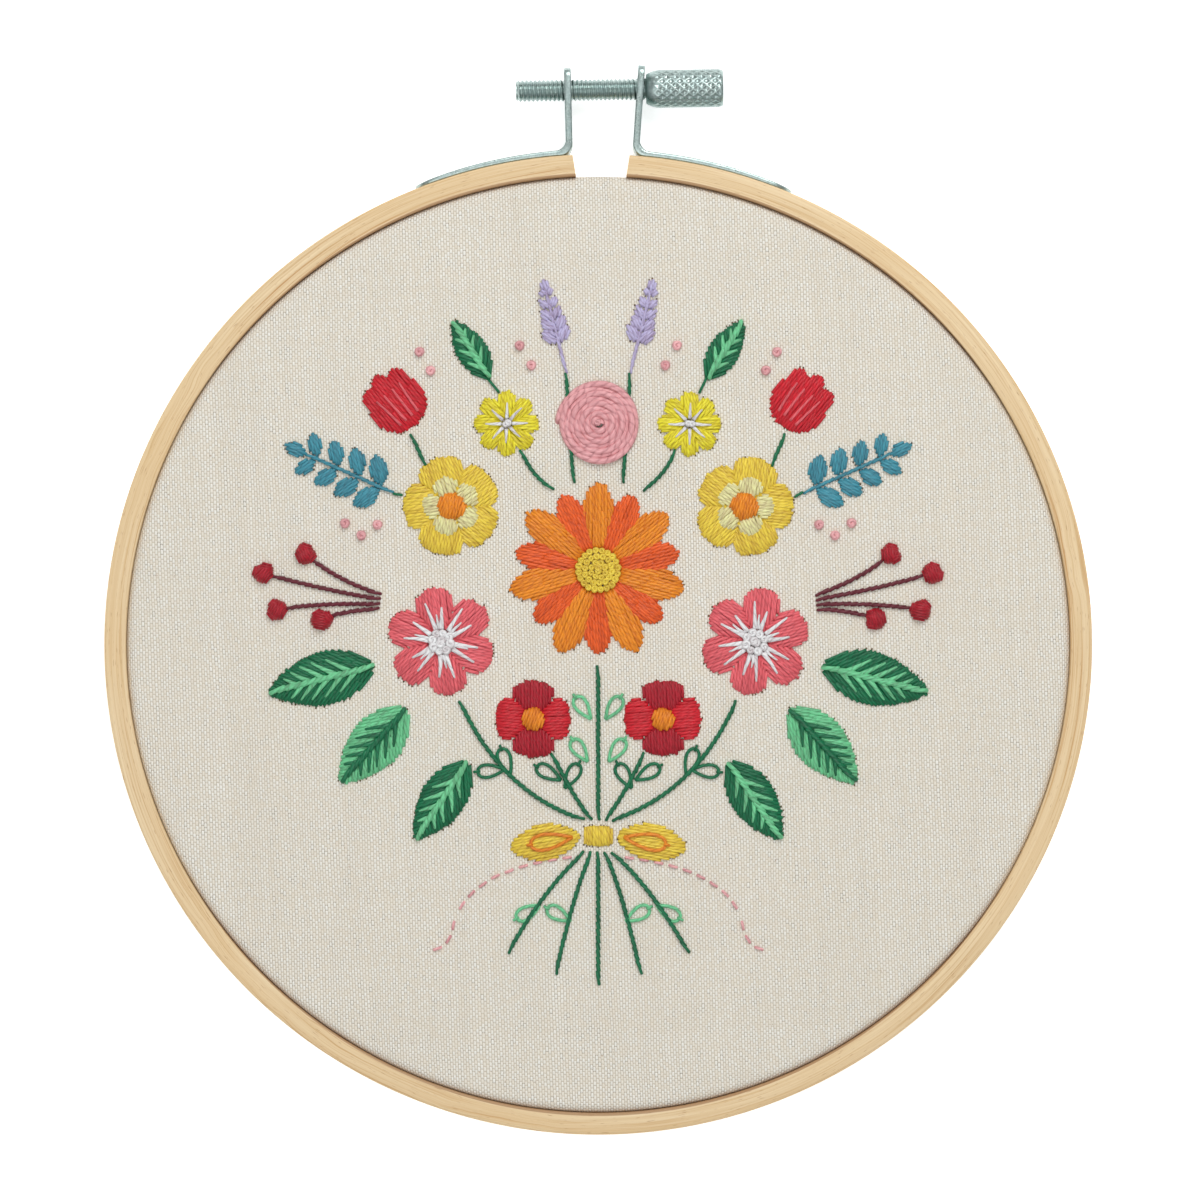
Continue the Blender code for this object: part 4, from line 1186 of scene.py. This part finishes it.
def build_sprays():
    """Eucalyptus sprigs, and lavender as pairs of buds on a stalk."""
    for label, side in sides_of("eucalyptus_*"):
        x, y, turn, length, leaf, half = SPRIG
        floss = Floss("teal")
        stem_stitch(floss, turned([(0, 0), (0, length * 0.5), (0, length * 0.82)], turn, x, y, side), 0.9)
        for pair in range(SPRIG_PAIRS):
            shrink = 1 - 0.3 * pair / SPRIG_PAIRS
            for hand in (1, -1):
                foot = (0.45 * hand, length * (0.12 + 0.2 * pair))
                lean = math.degrees(SPRIG_LEAN) * hand
                small_leaf(floss, x, y, turn, side, foot, lean, leaf * shrink, half * shrink)
        small_leaf(floss, x, y, turn, side, (0, length - leaf * 0.7), 0, leaf * 0.75, half * 0.75)
        floss.piece(f"{label}_stitches", label)
    for label, side in sides_of("lavender_*"):
        x, y, turn, length, half = LAVENDER
        floss = Floss("lilac")
        stem_stitch(floss, turned([(0, 0), (0, length * 0.5), (0, length * 0.9)], turn, x, y, side), 0.85)
        for pair in range(5):
            shrink = 1 - 0.13 * pair
            for hand in (1, -1):
                foot = (0.2 * hand, length * (0.33 + 0.125 * pair))
                small_leaf(floss, x, y, turn, side, foot, 38 * hand, 3.7 * shrink, 1.05 * shrink)
        small_leaf(floss, x, y, turn, side, (0, length * 0.87), 0, 2.6, 0.8)
        floss.piece(f"{label}_stitches", label)


def build_bow():
    """The bow's two loops and its knot, in yellow."""
    for label, side in sides_of("bow_*"):
        x, y, turn, length, width = BOW
        floss = Floss("yellow")
        shares = np.linspace(0, 1, 21)
        shape = [(0.6 + (width - 0.6) * math.sin(math.pi * s) ** 0.8, length * s) for s in shares]
        shape += [(-a, b) for a, b in reversed(shape)]
        satin(floss, turned(shape, turn, x, y, side), heading(turn, side), crown=0.5, longest=20)
        floss.piece(f"{label}_stitches", label)
        fold = Floss("orange")
        lazy_daisy(fold, x + 1.2, y - 0.2, turn, length * 0.62, width * 0.95, side, 0.95)
        fold.piece(f"{label}_fold_stitches")
    floss = Floss("yellow")
    wide, high = KNOT_HALF
    shape = []
    for i in range(32):
        angle = 2 * math.pi * i / 32
        cx, cy = math.cos(angle), math.sin(angle)
        x = math.copysign(abs(cx) ** 0.5, cx) * wide
        shape.append((x, KNOT_Y + math.copysign(abs(cy) ** 0.5, cy) * high))
    satin(floss, shape, math.pi / 2, crown=0.5, ragged=0.05)
    floss.piece("bow_knot_stitches", "bow_knot")


def stalk_paths(base_y, ends):
    """The posy's stalks as curves from the bow's edge."""
    paths = []
    for index, (x, y, bend) in enumerate(ends):
        base = ((2 * index + 1 - len(ends)) * 0.65, base_y)
        middle = (x * (0.5 + 0.2 * bend), base_y + (y - base_y) * (0.5 - 0.28 * bend))
        paths.append(bezier(base, middle, (x, y)))
    return paths


def build_stalks():
    """Stem stitch for the posy's stalks, with looped leaves on them."""
    upper = Floss("dark_green")
    for path in stalk_paths(STALKS_TOP_Y, STALKS_ABOVE):
        stem_stitch(upper, path, 1.05)
    upper.piece("upper_stalk_stitches", "stems_upper")
    lower = Floss("dark_green")
    for path in stalk_paths(STALKS_LOW_Y, STALKS_BELOW):
        stem_stitch(lower, path, 1.05)
    lower.piece("lower_stalk_stitches", "stems_lower")


def build_berries():
    """Twigs in stem stitch, and berries wound over with thread."""
    root = np.array(TWIG_ROOT, float)
    lie = np.array([1, TWIG_RISE]) / math.hypot(1, TWIG_RISE)
    across = np.array([-lie[1], lie[0]])
    order = sorted(BERRIES, key=lambda berry: (np.array(berry) - root) @ across)
    for label, side in (("right", 1), ("left", -1)):
        mirror = np.array([side, 1])
        twig = Floss("burgundy")
        for index, berry in enumerate(order):
            reach = np.array(berry) - root
            base = 2 * index + 1 - len(order)
            start = root + across * base * 0.45
            spread = base * 0.45 * (1 - TWIG_SPREAD) + (reach @ across) * TWIG_SPREAD
            control = root + across * spread + lie * (reach @ lie) * 0.6
            stem_stitch(twig, bezier(start, control, berry)[:22] * mirror, 1.05)
        twig.piece(f"berry_twig_{label}_stitches", f"berry_twig_{label}")
        for number, (x, y) in enumerate(BERRIES, 1):
            berry = Floss("crimson")
            wind_berry(berry, x * side, y)
            berry.piece(f"berry_{label}_{number}_stitches", f"berry_{label}_{number}")


def wind_berry(floss, x, y):
    """A few small round pads piled together, each wound over its own way."""
    spin = random.uniform(0, 2 * math.pi)
    for off, turn, radius, rise in BERRY_LUMPS:
        middle = np.array([x + off * math.cos(spin + turn), y + off * math.sin(spin + turn)])
        radius *= random.uniform(0.9, 1.05)
        way = spin + turn + random.uniform(1.0, 2.1)
        ahead = np.array([math.cos(way), math.sin(way)])
        aside = np.array([-ahead[1], ahead[0]])
        count = round(2 * radius / 0.46)
        for i in range(count):
            v = 0.94 * radius * (2 * (i + 0.5) / count - 1)
            half = math.sqrt(radius**2 - v**2) * random.uniform(0.95, 1.03)
            body = math.sqrt(1 - (v / radius) ** 2)
            path = []
            for step in range(11):
                u = half * math.sin(math.pi * (step / 10 - 0.5))
                spot = middle + ahead * u + aside * v
                path.append((*spot, rise * body * max(0.0, 1 - (u / half) ** 2) ** 0.45 - 0.25))
            floss.strand(path, 0.62, 0.5)


def build_trimmings():
    """Small stitches that fill in the posy: joining stems, looped leaves, knots and running stitch."""
    green = Floss("dark_green")
    pale = Floss("light_green")
    pink = Floss("pink")
    for side in (1, -1):
        for start, middle, end in (
            ((32.5, 33.5), (34, 37), (35.2, 39.6)),
            ((36.9, 27.9), (37.6, 28.2), (38.5, 28.5)),
            ((4.6, 30.4), (5.6, 42), (6, 51)),
            ((8.4, 29.0), (12.5, 31.5), (14.6, 36.6)),
            ((18.8, 47.3), (19.2, 48.5), (20.5, 50)),
        ):
            path = bezier(start, middle, end) * np.array([side, 1])
            stem_stitch(green, path, 0.95)
        for x, y, turn in ((16.5, -24.5, 20), (17.5, -23.5, 95), (6.3, -27, -30), (7.0, -25.5, 60)):
            lazy_daisy(green, x, y, turn, 5.2, 2.6, side)
        for x, y, turn in ((2.0, -22, 35), (1.4, -14, 35), (11, -49, 120), (5.2, -52, 60)):
            lazy_daisy(pale, x, y, turn, 5.0, 2.6, side)
        curl = bezier((5, -40), (24, -42), (27, -52)) * np.array([side, 1])
        running_stitch(pink, curl)
        curl = bezier((27, -52), (28, -59), (34, -57)) * np.array([side, 1])
        running_stitch(pink, curl)
        for x, y in LONE_KNOTS:
            french_knot(pink, x * side, y, 1.6, 0.15)
    green.piece("green_trimming_stitches")
    pale.piece("pale_green_trimming_stitches")
    pink.piece("pink_trimming_stitches")


def build_holes():
    """Dark needle holes at the ends of the satin stitches, each a small tapered plug in the cloth, coloured
    dark as painted shade inside the hole.
    """
    points = []
    faces = []
    for x, y in HOLES:
        size = random.uniform(0.12, 0.2)
        start = len(points)
        for reach, level in ((0.3 * size, HOLE_FOOT), (size, HOLE_RIM)):
            for i in range(HOLE_SIDES):
                angle = 2 * math.pi * i / HOLE_SIDES
                points.append((x + reach * math.cos(angle), y + 1.3 * reach * math.sin(angle), FACE + level))
        faces += [tuple(start + i for i in face) for face in loft_faces(2, HOLE_SIDES)]
    piece = mesh_piece("needle_hole_shadows", points, faces, hole_material())


def build_stage():
    """A white floor, soft light from above and from the clamp's side, and the camera over the hoop."""
    bpy.ops.mesh.primitive_plane_add(size=6)
    floor = bpy.context.object
    floor.name = "floor"
    floor.location.z = -0.0002
    g = Graph("floor", 0.9, Emission_Color=(1, 1, 1, 1), Emission_Strength=0.55)
    floor.data.materials.append(g.paint(rgb(250, 250, 250)))
    world = bpy.data.worlds.new("studio")
    world.use_nodes = True
    world.node_tree.nodes["Background"].inputs["Color"].default_value = (0.98, 0.99, 1.0, 1)
    world.node_tree.nodes["Background"].inputs["Strength"].default_value = 0.45
    bpy.context.scene.world = world
    for name, place, size, power in (
        ("key", (0.15, 0.6, 0.7), 0.5, 3.8),
        ("top", (-0.15, -0.3, 1.1), 0.9, 3.4),
    ):
        lamp = bpy.data.lights.new(name, "AREA")
        lamp.size = size
        lamp.energy = power
        holder = bpy.data.objects.new(name, lamp)
        holder.location = place
        holder.rotation_euler = (-Vector(place)).to_track_quat("-Z", "Y").to_euler()
        bpy.context.scene.collection.objects.link(holder)
    camera = bpy.data.cameras.new("camera")
    camera.lens = LENS
    camera.sensor_width = SENSOR
    camera.clip_start = 0.05
    camera.clip_end = 20
    holder = bpy.data.objects.new("camera", camera)
    wide = PHOTO_WIDE * PHOTO_PIXEL * MM
    middle = PHOTO_WIDE / 2
    holder.location = (
        CENTRE.x + (middle - PHOTO_CENTRE[0]) * PHOTO_PIXEL * MM,
        CENTRE.y + (PHOTO_CENTRE[1] - middle) * PHOTO_PIXEL * MM,
        FACE * MM + wide * LENS / SENSOR,
    )
    bpy.context.scene.collection.objects.link(holder)
    bpy.context.scene.camera = holder
    bpy.context.scene.view_settings.view_transform = "Standard"


bamboo = bamboo_material()
steel = steel_material()
build_rings(bamboo)
build_cloth(canvas_material())
build_brackets(steel)
build_screw(steel)
build_flowers()
build_rose()
build_tulips()
build_leaves()
build_sprays()
build_bow()
build_stalks()
build_berries()
build_trimmings()
build_holes()
build_stage()
bpy.context.view_layer.update()
